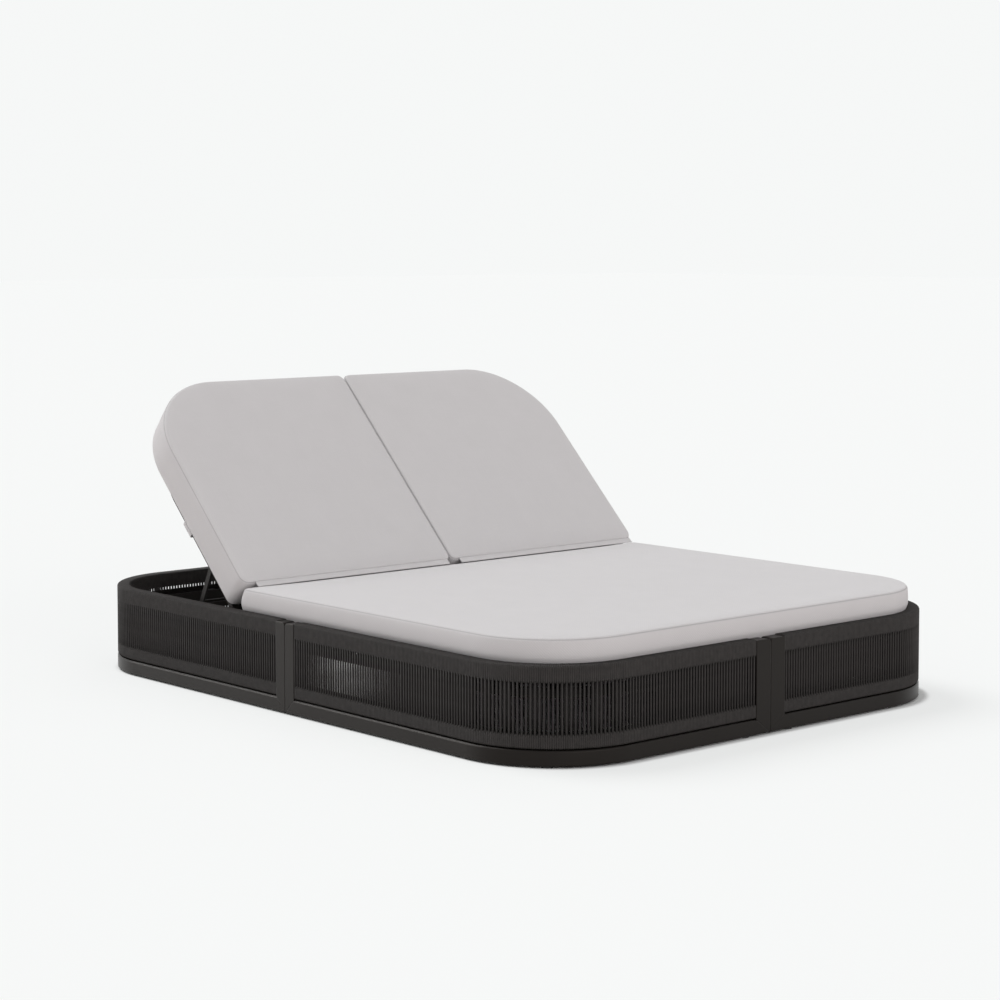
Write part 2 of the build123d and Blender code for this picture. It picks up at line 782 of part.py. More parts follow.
# Rest pads on the deck rails, where the backs lie when flat
flat_bar_base = hinge_z + hinge_to_bar
pad_height = flat_bar_base - deck_top - pad_clearance
pad_x = -deck_inner_x - pad_width / 2
pad_y = deck_inner_y + pad_width / 2
with BuildPart() as rest_pads:
    with BuildSketch(Plane.XY.offset(deck_top)):
        for pad_share in pad_shares:
            with Locations((pad_x, hinge_y + pad_share * back_bend_start)):
                Rectangle(pad_width, pad_length)
        with Locations((-back_middle_x, pad_y)):
            Rectangle(pad_length, pad_width)
    extrude(amount=pad_height)
    mirror(about=Plane.YZ)
save(rest_pads.part, "rest_pads")


def cushion_face(plane, left, right, front, rear, radii):
    """Draw a cushion's outline on a plane, with its own radius per corner."""
    with BuildSketch(plane) as outline:
        with BuildLine():
            FilletPolyline(
                (left, front), (right, front), (right, rear), (left, rear), radius=radii, close=True
            )
        make_face()
    return outline.sketch


# Seat cushion, one piece across both sides, leaning out over the rope rim
seat_base = deck_top + slat_thickness + soft_clearance
seat_thickness = seam_z - seat_base
seat_radius = corner_radius - wall_depth + seam_overhang
seat_half = inner_x + seam_overhang
seat_levels = [
    (seat_base + seat_thickness * rise, seat_lean * lean) for rise, lean in zip(rise_shares, lean_shares)
]
seat_levels += [
    (seam_z + crown_height * share**crown_power, crown_run * share) for share in crown_shares
]
seat_faces = []
for level_z, level_inset in seat_levels:
    seat_faces.append(
        cushion_face(
            Plane.XY.offset(level_z),
            level_inset - seat_half,
            seat_half - level_inset,
            level_inset + seat_front - seam_overhang,
            seat_rear - level_inset,
            (
                seat_radius - level_inset,
                seat_radius - level_inset,
                seat_rear_radius,
                seat_rear_radius,
            ),
        )
    )
with BuildPart() as seat_cushion:
    loft(sections=seat_faces, ruled=True)
save(seat_cushion.part, "seat_cushion")

# Back cushions, with the crown forward and a wide radius at the outer top corner
back_levels = [
    (hinge_to_cushion + back_cushion_thickness * rise, lean)
    for rise, lean in zip(rise_shares, lean_shares)
]
back_faces = []
for level_rise, level_lean in back_levels:
    back_faces.append(
        cushion_face(
            back_plane.offset(level_rise),
            back_lean * level_lean - back_outer_x,
            -back_split / 2 - low_lean * level_lean,
            cushion_start + low_lean * level_lean,
            cushion_end - head_lean * level_lean,
            (
                back_small_radius,
                back_small_radius,
                back_small_radius,
                back_corner_radius + corner_swell * level_lean,
            ),
        )
    )
for crown_share in crown_shares:
    crown_inset = crown_run * crown_share
    back_faces.append(
        cushion_face(
            back_plane.offset(hinge_to_seam + crown_height * crown_share**crown_power),
            crown_inset - back_outer_x,
            -back_split / 2 - crown_inset,
            cushion_start + crown_inset,
            cushion_end - crown_inset,
            (
                back_small_radius,
                back_small_radius,
                back_small_radius,
                back_corner_radius - crown_inset,
            ),
        )
    )
with BuildPart() as back_cushion:
    loft(sections=back_faces, ruled=True)
save_pair(back_cushion.part, "back_cushion")

# Loops behind the cushions that slide on the side tubes of the backs
loop_low = hinge_to_bar - loop_clearance - loop_thickness
loop_depth = hinge_to_cushion - loop_low
loop_outer_left = back_lean * lean_shares[0] - back_outer_x
loop_outer_right = back_bar_width + loop_clearance + loop_thickness - back_bar_outer
loop_inner_left = -back_bar_inner - back_bar_width - loop_clearance - loop_thickness
loop_inner_right = loop_clearance + loop_thickness - back_bar_inner


def loop_plane():
    """Give the plane across the back where the loops begin."""
    return Plane(
        origin=(
            0,
            hinge_y + loop_start * cos(radians(rest_angle)),
            hinge_z + loop_start * sin(radians(rest_angle)),
        ),
        x_dir=(1, 0, 0),
        z_dir=(0, -cos(radians(rest_angle)), -sin(radians(rest_angle))),
    )


with BuildPart() as cushion_loops:
    for loop_left, loop_right in (
        (loop_outer_left, loop_outer_right),
        (loop_inner_left, loop_inner_right),
    ):
        loop_middle = (loop_left + loop_right) / 2
        loop_span = loop_right - loop_left
        with BuildSketch(loop_plane()) as loop_section:
            with Locations((loop_middle, loop_low + loop_depth / 2)):
                Rectangle(loop_span, loop_depth)
            fillet(loop_section.vertices().group_by(Axis.Y)[0], radius=loop_round)
            with Locations((loop_middle, loop_low + loop_depth / 2 + loop_thickness)):
                Rectangle(loop_span - 2 * loop_thickness, loop_depth, mode=Mode.SUBTRACT)
        extrude(amount=-loop_width)
save_pair(cushion_loops.part, "cushion_loops")
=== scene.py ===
# %% [markdown]
# # Double chaise lounger
#
# A low lounger for two: a metal frame with rope-wound walls, one wide seat
# cushion and two backs that tilt separately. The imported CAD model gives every
# size and place. This file dresses it: the rope is wound turn by turn, the
# cushions are sewn and filled, and each metal part gets its finish.

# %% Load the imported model
import json
import math
import time

import bpy
import numpy as np
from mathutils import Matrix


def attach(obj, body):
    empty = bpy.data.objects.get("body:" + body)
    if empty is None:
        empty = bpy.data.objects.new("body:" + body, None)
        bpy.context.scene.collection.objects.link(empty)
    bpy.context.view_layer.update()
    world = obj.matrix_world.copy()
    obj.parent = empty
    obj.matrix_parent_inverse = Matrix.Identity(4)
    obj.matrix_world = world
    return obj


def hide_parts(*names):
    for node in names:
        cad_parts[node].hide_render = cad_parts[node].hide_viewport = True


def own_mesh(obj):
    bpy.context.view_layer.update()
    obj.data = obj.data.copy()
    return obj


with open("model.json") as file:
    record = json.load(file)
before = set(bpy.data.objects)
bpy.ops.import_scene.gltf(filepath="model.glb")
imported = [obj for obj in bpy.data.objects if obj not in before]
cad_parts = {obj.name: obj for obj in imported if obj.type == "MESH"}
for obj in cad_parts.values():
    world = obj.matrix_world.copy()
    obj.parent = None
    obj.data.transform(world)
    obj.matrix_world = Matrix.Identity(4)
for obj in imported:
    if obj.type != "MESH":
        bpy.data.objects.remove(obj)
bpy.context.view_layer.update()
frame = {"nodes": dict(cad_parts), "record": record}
nodes = frame["nodes"]

# %% [markdown]
# ## Sizes
#
# Blender works in metres and so does this file. The sizes below repeat the ones
# of the CAD model, because the rope and the cushions are worked out from them.
# A quarter of the frame is drawn once, at the foot end on the left, and the
# other three are its mirror images.

# %% Sizes of the frame and its walls
MM = 0.001
half_width = 800 * MM
half_length = 1042.5 * MM
corner_radius = 288 * MM
side_post_end = 39.95 * MM
end_post_end = 54.75 * MM
lower_band = (46.5 * MM, 84 * MM)
upper_band = (209 * MM, 254 * MM)
rope_face = 0.5 * MM
rope_back = 38.7 * MM
rope_radius = 2.75 * MM
strand_pitches = np.array([10.55, 11.15, 10.2]) * MM

corner_x = half_width - corner_radius
corner_y = half_length - corner_radius
side_run = corner_y - side_post_end
arc_run = corner_radius * math.pi / 2
end_run = corner_x - end_post_end
wall_run = side_run + arc_run + end_run
quarters = {"foot_left": (1, 1), "foot_right": (-1, 1), "head_left": (1, -1), "head_right": (-1, -1)}
print("one quarter of the wall is", round(wall_run, 3), "m long")

# %% [markdown]
# ## Camera
#
# The photograph was taken from a little above seat-back height with a long
# lens, and its upright edges stay nearly parallel. That asks for a level camera
# with its picture moved down. Here most of that is done by a slight tilt and
# the rest by a small shift, which the other views can keep.

# %% Camera
view_place = (-4.56007, -5.12864, 1.28777)
view_yaw = 0.724562
view_pitch = 0.068047
view_lens = 84.87
view_shift = -0.1
camera_data = bpy.data.cameras.new("photo_camera")
camera_data.sensor_width = 36
camera_data.lens = view_lens
camera_data.shift_y = view_shift
camera = bpy.data.objects.new("photo_camera", camera_data)
camera.location = view_place
camera.rotation_euler = (math.pi / 2 - view_pitch, 0, -view_yaw)
bpy.context.scene.collection.objects.link(camera)
bpy.context.scene.camera = camera
print("camera with a lens of", view_lens, "mm")

# %% [markdown]
# ## Helpers for meshes
#
# Every new surface is a grid of points, worked out as one numpy array. These
# helpers turn grids into quads and hand all the numbers to Blender in one go,
# which is far quicker than adding points one at a time.


# %% Grids to meshes
def grid_quads(ids):
    """Join a grid of vertex numbers into quads: each takes a cell's four corners."""
    return np.stack([ids[:-1, :-1], ids[1:, :-1], ids[1:, 1:], ids[:-1, 1:]], -1).reshape(-1, 4)


def closed(ids):
    """Repeat a grid's first column after its last, so that it closes on itself."""
    return np.concatenate([ids, ids[:, :1]], 1)


def new_piece(name, points, quads, uv=None, flip=False):
    """Make a smooth mesh object from points (n, 3), quads (m, 4) and UVs (m, 4, 2)."""
    if flip:
        quads = quads[:, ::-1]
        uv = None if uv is None else uv[:, ::-1]
    mesh = bpy.data.meshes.new(name)
    mesh.vertices.add(len(points))
    mesh.vertices.foreach_set("co", np.ascontiguousarray(points, np.float32).ravel())
    mesh.loops.add(quads.size)
    mesh.loops.foreach_set("vertex_index", np.ascontiguousarray(quads, np.int32).ravel())
    mesh.polygons.add(len(quads))
    mesh.polygons.foreach_set("loop_start", np.arange(0, quads.size, 4, dtype=np.int32))
    mesh.polygons.foreach_set("use_smooth", np.ones(len(quads), bool))
    mesh.update(calc_edges=True)
    if uv is not None:
        layer = mesh.uv_layers.new(name="UVMap")
        layer.data.foreach_set("uv", np.ascontiguousarray(uv, np.float32).ravel())
    piece = bpy.data.objects.new(name, mesh)
    bpy.context.scene.collection.objects.link(piece)
    return piece


def finish(piece, material, body):
    """Give a piece its material and the body that it moves with."""
    piece.data.materials.clear()
    piece.data.materials.append(material)
    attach(piece, body)


# %% [markdown]
# ## Helpers for materials
#
# A material here is a Principled BSDF whose colour, roughness and bump come
# from small node groups. A group is drawn once and placed in each material that
# needs it, with its own values, like a stencil that is used on several pieces.


# %% Node helpers
def new_group(name, inputs, outputs):
    """Start a shader node group with named number or colour sockets."""
    group = bpy.data.node_groups.new(name, "ShaderNodeTree")
    for socket_name, kind, value in inputs:
        socket = group.interface.new_socket(socket_name, in_out="INPUT", socket_type=kind)
        if value is not None:
            socket.default_value = value
    for socket_name, kind in outputs:
        group.interface.new_socket(socket_name, in_out="OUTPUT", socket_type=kind)
    source = group.nodes.new("NodeGroupInput")
    target = group.nodes.new("NodeGroupOutput")
    return group, source, target


def node(tree, kind, links=None, **values):
    """Add a node, set its properties and sockets, and link its inputs."""
    made = tree.nodes.new(kind)
    for key, value in values.items():
        if hasattr(made, key):
            setattr(made, key, value)
        else:
            made.inputs[key.replace("_", " ")].default_value = value
    for key, output in (links or {}).items():
        tree.links.new(output, made.inputs[key])
    return made


def maths(tree, operation, first, second=0.0, third=0.0):
    """Add a Math node whose inputs are numbers or outputs of other nodes."""
    made = tree.nodes.new("ShaderNodeMath")
    made.operation = operation
    for index, value in enumerate((first, second, third)):
        if isinstance(value, (int, float)):
            made.inputs[index].default_value = value
        else:
            tree.links.new(value, made.inputs[index])
    return made.outputs[0]


def new_material(name, **values):
    """Make a material with a Principled BSDF and set its plain sockets."""
    material = bpy.data.materials.new(name)
    material.use_nodes = True
    shader = material.node_tree.nodes["Principled BSDF"]
    for key, value in values.items():
        shader.inputs[key.replace("_", " ")].default_value = value
    return material, material.node_tree, shader


def screen(red, green, blue):
    """Turn a colour as seen on screen, in steps of 0 to 255, into a linear colour."""
    steps = np.array([red, green, blue]) / 255
    return (*np.where(steps > 0.04045, ((steps + 0.055) / 1.055) ** 2.4, steps / 12.92), 1.0)


# %% [markdown]
# ## Powder coat
#
# The frame is aluminium or steel tube with a sprayed and baked powder coat. It
# looks satin, with a very fine orange-peel surface, and its colour drifts a
# little where the powder lies thicker. A picture of a coat would have to be
# unwrapped onto every tube, so noise in Object coordinates does both: the
# pattern is in the metal and not in the view. A Bevel node rounds the edges for
# the light, which saves cutting the rounds into each part.

# %% Powder coat group
powder, powder_in, powder_out = new_group(
    "powder_coat",
    [
        ("Colour", "NodeSocketColor", (0.05, 0.05, 0.05, 1)),
        ("Drift", "NodeSocketFloat", 0.06),
        ("Gloss", "NodeSocketFloat", 0.42),
    ],
    [("Colour", "NodeSocketColor"), ("Roughness", "NodeSocketFloat"), ("Height", "NodeSocketFloat")],
)
colour_drift = 4.0
place = node(powder, "ShaderNodeTexCoord")
cloud = node(powder, "ShaderNodeTexNoise", {"Vector": place.outputs["Object"]}, Scale=9.0, Detail=4.0)
peel = node(powder, "ShaderNodeTexNoise", {"Vector": place.outputs["Object"]}, Scale=900.0, Detail=1.0)
cloudy = maths(powder, "SUBTRACT", cloud.outputs[0], 0.5)
drift = maths(powder, "MULTIPLY", cloudy, powder_in.outputs["Drift"])
brighter = maths(powder, "ADD", 1.0, maths(powder, "MULTIPLY", drift, colour_drift))
tint_inputs = {0: powder_in.outputs["Colour"], "Scale": brighter}
tint = node(powder, "ShaderNodeVectorMath", tint_inputs, operation="SCALE")
powder.links.new(tint.outputs[0], powder_out.inputs["Colour"])
powder.links.new(maths(powder, "ADD", powder_in.outputs["Gloss"], drift), powder_out.inputs["Roughness"])
powder.links.new(peel.outputs[0], powder_out.inputs["Height"])


def powder_coated(name, colour, gloss, edge):
    """Make a powder-coated metal whose edges are softened by a Bevel node."""
    material, tree, shader = new_material(
        name, Specular_IOR_Level=0.17, Specular_Tint=(1.0, 0.93, 0.88, 1)
    )
    coat = node(tree, "ShaderNodeGroup", node_tree=powder, Colour=colour, Gloss=gloss)
    soft_edge = node(tree, "ShaderNodeBevel", samples=6, Radius=edge)
    bump_inputs = {"Height": coat.outputs["Height"], "Normal": soft_edge.outputs[0]}
    bump = node(tree, "ShaderNodeBump", bump_inputs, Strength=0.12, Distance=0.4 * MM)
    tree.links.new(coat.outputs["Colour"], shader.inputs["Base Color"])
    tree.links.new(coat.outputs["Roughness"], shader.inputs["Roughness"])
    tree.links.new(bump.outputs[0], shader.inputs["Normal"])
    return material


frame_metal = powder_coated("bronze_powder_coat", screen(25, 22, 20), 0.34, 3.5 * MM)
deck_metal = powder_coated("deck_powder_coat", screen(24, 22, 21), 0.55, 1 * MM)
print("metals:", frame_metal.name, "and", deck_metal.name)

# %% [markdown]
# ## Small parts
#
# Pins and screws are plain stainless steel with fine turning marks. The glides
# and rest pads are black moulded plastic and rubber, dull and slightly grainy.
# They are small, so fine noise in the roughness, and in the bump of the moulded
# parts, is all that would show.

# %% Steel, plastic and rubber
pin_steel, tree, shader = new_material("pin_steel", Metallic=1.0, Base_Color=(0.55, 0.55, 0.56, 1))
place = node(tree, "ShaderNodeTexCoord")
marks = node(tree, "ShaderNodeTexNoise", {"Vector": place.outputs["Object"]}, Scale=1400.0, Detail=2.0)
spread = node(tree, "ShaderNodeMapRange", {"Value": marks.outputs[0]}, To_Min=0.22, To_Max=0.4)
tree.links.new(spread.outputs[0], shader.inputs["Roughness"])


def moulded(name, colour, low, high, grain):
    """Make a dull moulded material whose roughness varies with a fine grain."""
    material, tree, shader = new_material(name, Base_Color=colour)
    place = node(tree, "ShaderNodeTexCoord")
    speck = node(tree, "ShaderNodeTexNoise", {"Vector": place.outputs["Object"]}, Scale=grain, Detail=2.0)
    spread = node(tree, "ShaderNodeMapRange", {"Value": speck.outputs[0]}, To_Min=low, To_Max=high)
    bump = node(tree, "ShaderNodeBump", {"Height": speck.outputs[0]}, Strength=0.2, Distance=0.3 * MM)
    tree.links.new(spread.outputs[0], shader.inputs["Roughness"])
    tree.links.new(bump.outputs[0], shader.inputs["Normal"])
    return material


glide_plastic = moulded("glide_plastic", screen(34, 34, 34), 0.45, 0.6, 700.0)
pad_rubber = moulded("pad_rubber", screen(30, 30, 30), 0.7, 0.9, 500.0)
print("small parts:", pin_steel.name, glide_plastic.name, pad_rubber.name)

# %% [markdown]
# ## Rope
#
# The rope is a round braid of dark synthetic yarn. Its UV map runs along the
# rope in metres, so the braid follows every turn, which a pattern in Object
# coordinates wouldn't. Two crossed sets of waves make the diamonds, used for a
# little colour and for the bump.

# %% Braided rope group and material
braid, braid_in, braid_out = new_group(
    "rope_braid",
    [("Lay", "NodeSocketFloat", 900.0)],
    [("Shade", "NodeSocketFloat"), ("Height", "NodeSocketFloat")],
)
rope_uv = node(braid, "ShaderNodeTexCoord")
parts = node(braid, "ShaderNodeSeparateXYZ", {0: rope_uv.outputs["UV"]})
along = maths(braid, "MULTIPLY", parts.outputs[0], braid_in.outputs["Lay"])
around = maths(braid, "MULTIPLY", parts.outputs[1], braid_in.outputs["Lay"])
one_way = maths(braid, "SINE", maths(braid, "ADD", along, around))
other_way = maths(braid, "SINE", maths(braid, "SUBTRACT", along, around))
diamonds = maths(braid, "MULTIPLY", one_way, other_way)
fibre = node(braid, "ShaderNodeTexNoise", {"Vector": rope_uv.outputs["UV"]}, Scale=60.0, Detail=3.0)
shade = maths(braid, "ADD", maths(braid, "MULTIPLY", diamonds, 0.12), fibre.outputs[0])
braid.links.new(shade, braid_out.inputs["Shade"])
braid.links.new(diamonds, braid_out.inputs["Height"])

rope_material, tree, shader = new_material("charcoal_rope", Roughness=0.72, Specular_IOR_Level=0.25)
braided = node(tree, "ShaderNodeGroup", node_tree=braid)
tint = node(tree, "ShaderNodeMapRange", {"Value": braided.outputs["Shade"]}, From_Min=0.3, From_Max=0.8)
ramp = node(tree, "ShaderNodeValToRGB", {0: tint.outputs[0]})
ramp.color_ramp.elements[0].color = screen(45, 43, 42)
ramp.color_ramp.elements[1].color = screen(57, 54, 53)
bump = node(tree, "ShaderNodeBump", {"Height": braided.outputs["Height"]}, Strength=0.35, Distance=0.4 * MM)
tree.links.new(ramp.outputs[0], shader.inputs["Base Color"])
tree.links.new(bump.outputs[0], shader.inputs["Normal"])

# %% [markdown]
# ## Cushion fabric
#
# The covers are a plain woven outdoor cloth in light grey. Threads cross
# under and over, which is a product of two waves in the UV map. Some threads
# are a little thicker or paler than others: stretched noise along each way of
# the weave gives these slubs, and slow noise gives the faint unevenness of
# cloth over foam. Along a seam the cloth's colour is darkened: mostly painted
# shade for the shadow in the seam's groove, with a little of the thread's own
# line. An attribute on the cushion's mesh tells the material where.

# %% Woven cloth group
cloth_weave, weave_in, weave_out = new_group(
    "plain_weave",
    [("Threads", "NodeSocketFloat", 900.0), ("Slub", "NodeSocketFloat", 0.05)],
    [("Shade", "NodeSocketFloat"), ("Height", "NodeSocketFloat")],
)
cloth_uv = node(cloth_weave, "ShaderNodeTexCoord")
parts = node(cloth_weave, "ShaderNodeSeparateXYZ", {0: cloth_uv.outputs["UV"]})
counts = [maths(cloth_weave, "MULTIPLY", way, weave_in.outputs["Threads"]) for way in parts.outputs[:2]]
warp, weft = (maths(cloth_weave, "SINE", count) for count in counts)
over_under = maths(cloth_weave, "MULTIPLY", warp, weft)
slubs = []
for stretch in ((700.0, 14.0, 1.0), (14.0, 700.0, 1.0)):
    mapped = node(cloth_weave, "ShaderNodeMapping", {"Vector": cloth_uv.outputs["UV"]}, Scale=stretch)
    streak = node(cloth_weave, "ShaderNodeTexNoise", {"Vector": mapped.outputs[0]}, Scale=1.0, Detail=2.0)
    slubs.append(maths(cloth_weave, "SUBTRACT", streak.outputs[0], 0.5))
slow = node(cloth_weave, "ShaderNodeTexNoise", {"Vector": cloth_uv.outputs["UV"]}, Scale=11.0, Detail=4.0)
uneven = maths(cloth_weave, "SUBTRACT", slow.outputs[0], 0.5)
mottle = maths(cloth_weave, "MULTIPLY", uneven, 0.05)
threads = maths(cloth_weave, "MULTIPLY", maths(cloth_weave, "ADD", *slubs), weave_in.outputs["Slub"])
weave_light = maths(cloth_weave, "MULTIPLY", over_under, 0.02)
total = maths(cloth_weave, "ADD", maths(cloth_weave, "ADD", mottle, threads), weave_light)
cloth_weave.links.new(maths(cloth_weave, "ADD", total, 1.0), weave_out.inputs["Shade"])
cloth_weave.links.new(maths(cloth_weave, "ADD", over_under, slubs[0]), weave_out.inputs["Height"])

# %% Cushion cloth
# seam_shade is how much darker the cloth is along its seams: painted shade for the shadow in the grooves.
seam_shade = 0.35
cloth_colour = screen(202, 200, 201)
cushion_cloth, tree, shader = new_material(
    "light_grey_cloth", Roughness=0.86, Sheen_Weight=0.12, Sheen_Roughness=0.5, Specular_IOR_Level=0.25
)
cloth = node(tree, "ShaderNodeGroup", node_tree=cloth_weave)
# The seam attribute marks where the painted seam shade darkens the colour.
seam_shade_mask = node(tree, "ShaderNodeAttribute", attribute_name="seam")
seam_shading = maths(tree, "SUBTRACT", 1.0, maths(tree, "MULTIPLY", seam_shade_mask.outputs["Fac"], seam_shade))
shade = maths(tree, "MULTIPLY", cloth.outputs["Shade"], seam_shading)
tint = node(tree, "ShaderNodeVectorMath", {"Scale": shade}, operation="SCALE")
tint.inputs[0].default_value = cloth_colour[:3]
bump = node(tree, "ShaderNodeBump", {"Height": cloth.outputs["Height"]}, Strength=0.25, Distance=0.4 * MM)
tree.links.new(tint.outputs[0], shader.inputs["Base Color"])
tree.links.new(bump.outputs[0], shader.inputs["Normal"])
print("cloth colour", np.round(cloth_colour[:3], 3))

# %% [markdown]
# ## Rope walls
#
# One rope is wound around a rail tube above and another below, turn beside
# turn, and every second turn crosses the gap between them. One could model a
# turn and repeat it with an Array and a Curve modifier, but that squeezes it at
# the corners and hides most of its faces. So a band is one surface, a rounded
# box section carried along the wall that rises and falls once per turn, and the
# crossing strands are thin tubes on the outer and the inner face.


# %% Points along the wall
def wall_points(run, inset):
    """Give X and Y at a run along the outer face and an inset from it.

    The line goes along the side, round the corner's arc and along the end. Each
    of the three counts up while the others stand still, so their sum is the place.
    """
    on_side = np.clip(run, 0, side_run)
    on_arc = np.clip(run - side_run, 0, arc_run)
    on_end = np.clip(run - side_run - arc_run, 0, end_run)
    turn = math.pi + on_arc / corner_radius
    x = -corner_x + (corner_radius - inset) * np.cos(turn) + on_end
    y = -corner_y + (corner_radius - inset) * np.sin(turn) + side_run - on_side
    return x, y


def rounded_section(low, high, radius, steps):
    """Give the insets, heights and outward normals around a rounded box section."""
    angles = np.linspace(0, math.pi / 2, steps)
    turns = np.concatenate([angles + quarter * math.pi / 2 for quarter in range(4)])
    normals = np.stack([np.cos(turns), np.sin(turns)], 1)
    corner_signs = np.repeat([[1, 1], [-1, 1], [-1, -1], [1, -1]], steps, 0)
    middle = (np.array(low) + np.array(high)) / 2
    half = (np.array(high) - np.array(low)) / 2 - radius
    points = middle + corner_signs * half + normals * radius
    return points, normals, middle


# %% Turns along the wall
stretches = np.array([side_run, arc_run, end_run])
turn_ends = np.cumsum([0, *(2 * stretches / strand_pitches)])
turn_count = 2 * round(turn_ends[-1] / 2)
turn_ends *= turn_count / turn_ends[-1]


def turn_run(turn):
    """Give a turn's run along the wall: the side, the arc and the end each have an even pitch."""
    return np.interp(turn, turn_ends, np.cumsum([0, *stretches]))


print("turns on the side, the arc and the end:", np.round(np.diff(turn_ends), 1))

# %% Wound bands
turn_places = np.array([0.0, 0.14, 0.5, 0.86])
turn_heights = np.array([0.0, 0.69, 1.0, 0.69])
rib_rise = 2.5 * MM
band_round = 6 * MM
band_corner_steps = 6
end_draw = 0.001
band_run = turn_run(np.append((np.arange(turn_count)[:, None] + turn_places).ravel(), turn_count))
band_rise = np.append(np.tile(turn_heights, turn_count), 0.0) * rib_rise


def band_grid(band):
    """Work out a wound band: section points pushed out along their normals by each turn's rise.

    At both ends the rows are drawn onto the section's middle, which closes them.
    """
    low = (rope_face + rib_rise, band[0] + rib_rise)
    high = (rope_back - rib_rise, band[1] - rib_rise)
    section, normals, middle = rounded_section(low, high, band_round - rib_rise, band_corner_steps)
    rows = section[None] + normals[None] * band_rise[:, None, None]
    ends = np.tile(middle, (1, len(section), 1))
    first_ring = rows[:1] * (1 - end_draw) + ends * end_draw
    rows = np.concatenate([ends, first_ring, rows, ends])
    runs = np.concatenate([band_run[:1], band_run[:1], band_run, band_run[-1:]])
    x, y = wall_points(runs[:, None], rows[..., 0])
    points = np.stack([x, y, rows[..., 1]], -1)
    around = np.concatenate([[0], np.cumsum(np.linalg.norm(np.diff(section, axis=0), axis=1))])
    around = np.append(around, around[-1] + np.linalg.norm(section[0] - section[-1]))
    return points, runs, around


def grid_uvs(across, along_values):
    """Give each quad corner of a grid its UV from the row's and the column's value."""
    u, v = np.meshgrid(across, along_values, indexing="ij")
    plane = np.stack([v, u], -1)
    corners = [plane[:-1, :-1], plane[1:, :-1], plane[1:, 1:], plane[:-1, 1:]]
    return np.stack(corners, 2).reshape(-1, 4, 2)


# %% Crossing strands
strand_sides = 8
strand_bury = 7 * MM
strand_waist = (120 * MM, 178 * MM)
strand_wander = 0.16 * MM
strand_tip = 0.02
strand_levels = np.array([lower_band[1] - strand_bury, *strand_waist, upper_band[0] + strand_bury])
strand_runs = turn_run(np.arange(turn_count // 2) * 2 + 0.5)
random = np.random.default_rng(7)


def strand_grids(inset):
    """Work out all strands of one face as rings around upright lines, with closed ends."""
    wander = random.normal(0, strand_wander, (len(strand_runs), 2))
    share = np.linspace(0, 1, len(strand_levels))
    runs = strand_runs[:, None] + wander[:, :1] * (1 - share) + wander[:, 1:] * share
    x, y = wall_points(runs, inset)
    turns = np.arange(strand_sides) / strand_sides * 2 * math.pi
    ring = np.stack([np.cos(turns), np.sin(turns), np.zeros(strand_sides)], -1) * rope_radius
    z = np.broadcast_to(strand_levels, x.shape)
    centres = np.stack([x, y, z], -1)
    centres = np.concatenate([centres[:, :1], centres, centres[:, -1:]], 1)
    size = np.ones(centres.shape[1])
    size[[0, -1]] = strand_tip
    return centres[:, :, None] + ring * size[None, :, None, None]


# %% One wall's bands and strands
all_points, all_quads, all_uvs, count = [], [], [], 0
for band in (lower_band, upper_band):
    points, runs, around = band_grid(band)
    ids = np.arange(points[..., 0].size).reshape(points.shape[:2]) + count
    all_quads.append(grid_quads(closed(ids)))
    all_uvs.append(grid_uvs(runs, around))
    all_points.append(points.reshape(-1, 3))
    count += ids.size
strand_step = 45 * MM
strand_rows = np.concatenate([[0], np.arange(len(strand_levels)), [len(strand_levels) - 1]]) * strand_step
strand_girth = np.arange(strand_sides + 1) / strand_sides * 2 * math.pi * rope_radius
strand_uvs = grid_uvs(strand_rows, strand_girth)[:, ::-1, ::-1]
for inset in (rope_face + rope_radius, rope_back - rope_radius):
    points = strand_grids(inset)
    ids = np.arange(points[..., 0].size).reshape(points.shape[:3]) + count
    all_quads.extend(grid_quads(closed(strand))[:, ::-1] for strand in ids)
    all_uvs.extend([strand_uvs] * len(ids))
    all_points.append(points.reshape(-1, 3))
    count += ids.size
points, quads, uvs = (np.concatenate(parts) for parts in (all_points, all_quads, all_uvs))
print("each wall has", count, "points and", turn_count, "turns of rope")

# %% [markdown]
# The Mirror modifier would keep the four walls in one object. Here each quarter
# is its own piece, as in the CAD model, so its points are mirrored as numbers,
# and where that turns the faces inside out they are turned back.

# %% Four walls
for quarter, (sign_x, sign_y) in quarters.items():
    inside_out = sign_x * sign_y < 0
    wall = new_piece(f"rope_wall_{quarter}", points * (sign_x, sign_y, 1), quads, uvs, flip=inside_out)
    finish(wall, rope_material, "base")
    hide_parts(f"rope_panel_{quarter}")
    print(wall.name, "has", len(quads), "quads")

# %% [markdown]
# ## Cushions
#
# A box cushion is two panels of cloth joined by a strip, the boxing, with foam
# inside. A bevelled box with a Subdivision Surface would look like a pillow of
# rubber, without seams. So each is drawn as a closed mesh: an outline with
# rounded corners for every level of the boxing, and a panel whose grid is
# stretched between the four sides of the outline. The seams are narrow grooves.
# Then Blender's cloth simulation blows the cover up a little, with the seams
# pinned, so that the foam seems to press against the cloth.


# %% Outline with rounded corners
def even_steps(steps, even_share=0.65):
    """Give shares from 0 to 1 that lie a little closer together near both ends.

    They are a blend of even steps and of half a cosine wave.
    """
    even = np.arange(steps + 1) / steps
    return even_share * even + (1 - even_share) * (1 - np.cos(np.pi * even)) / 2


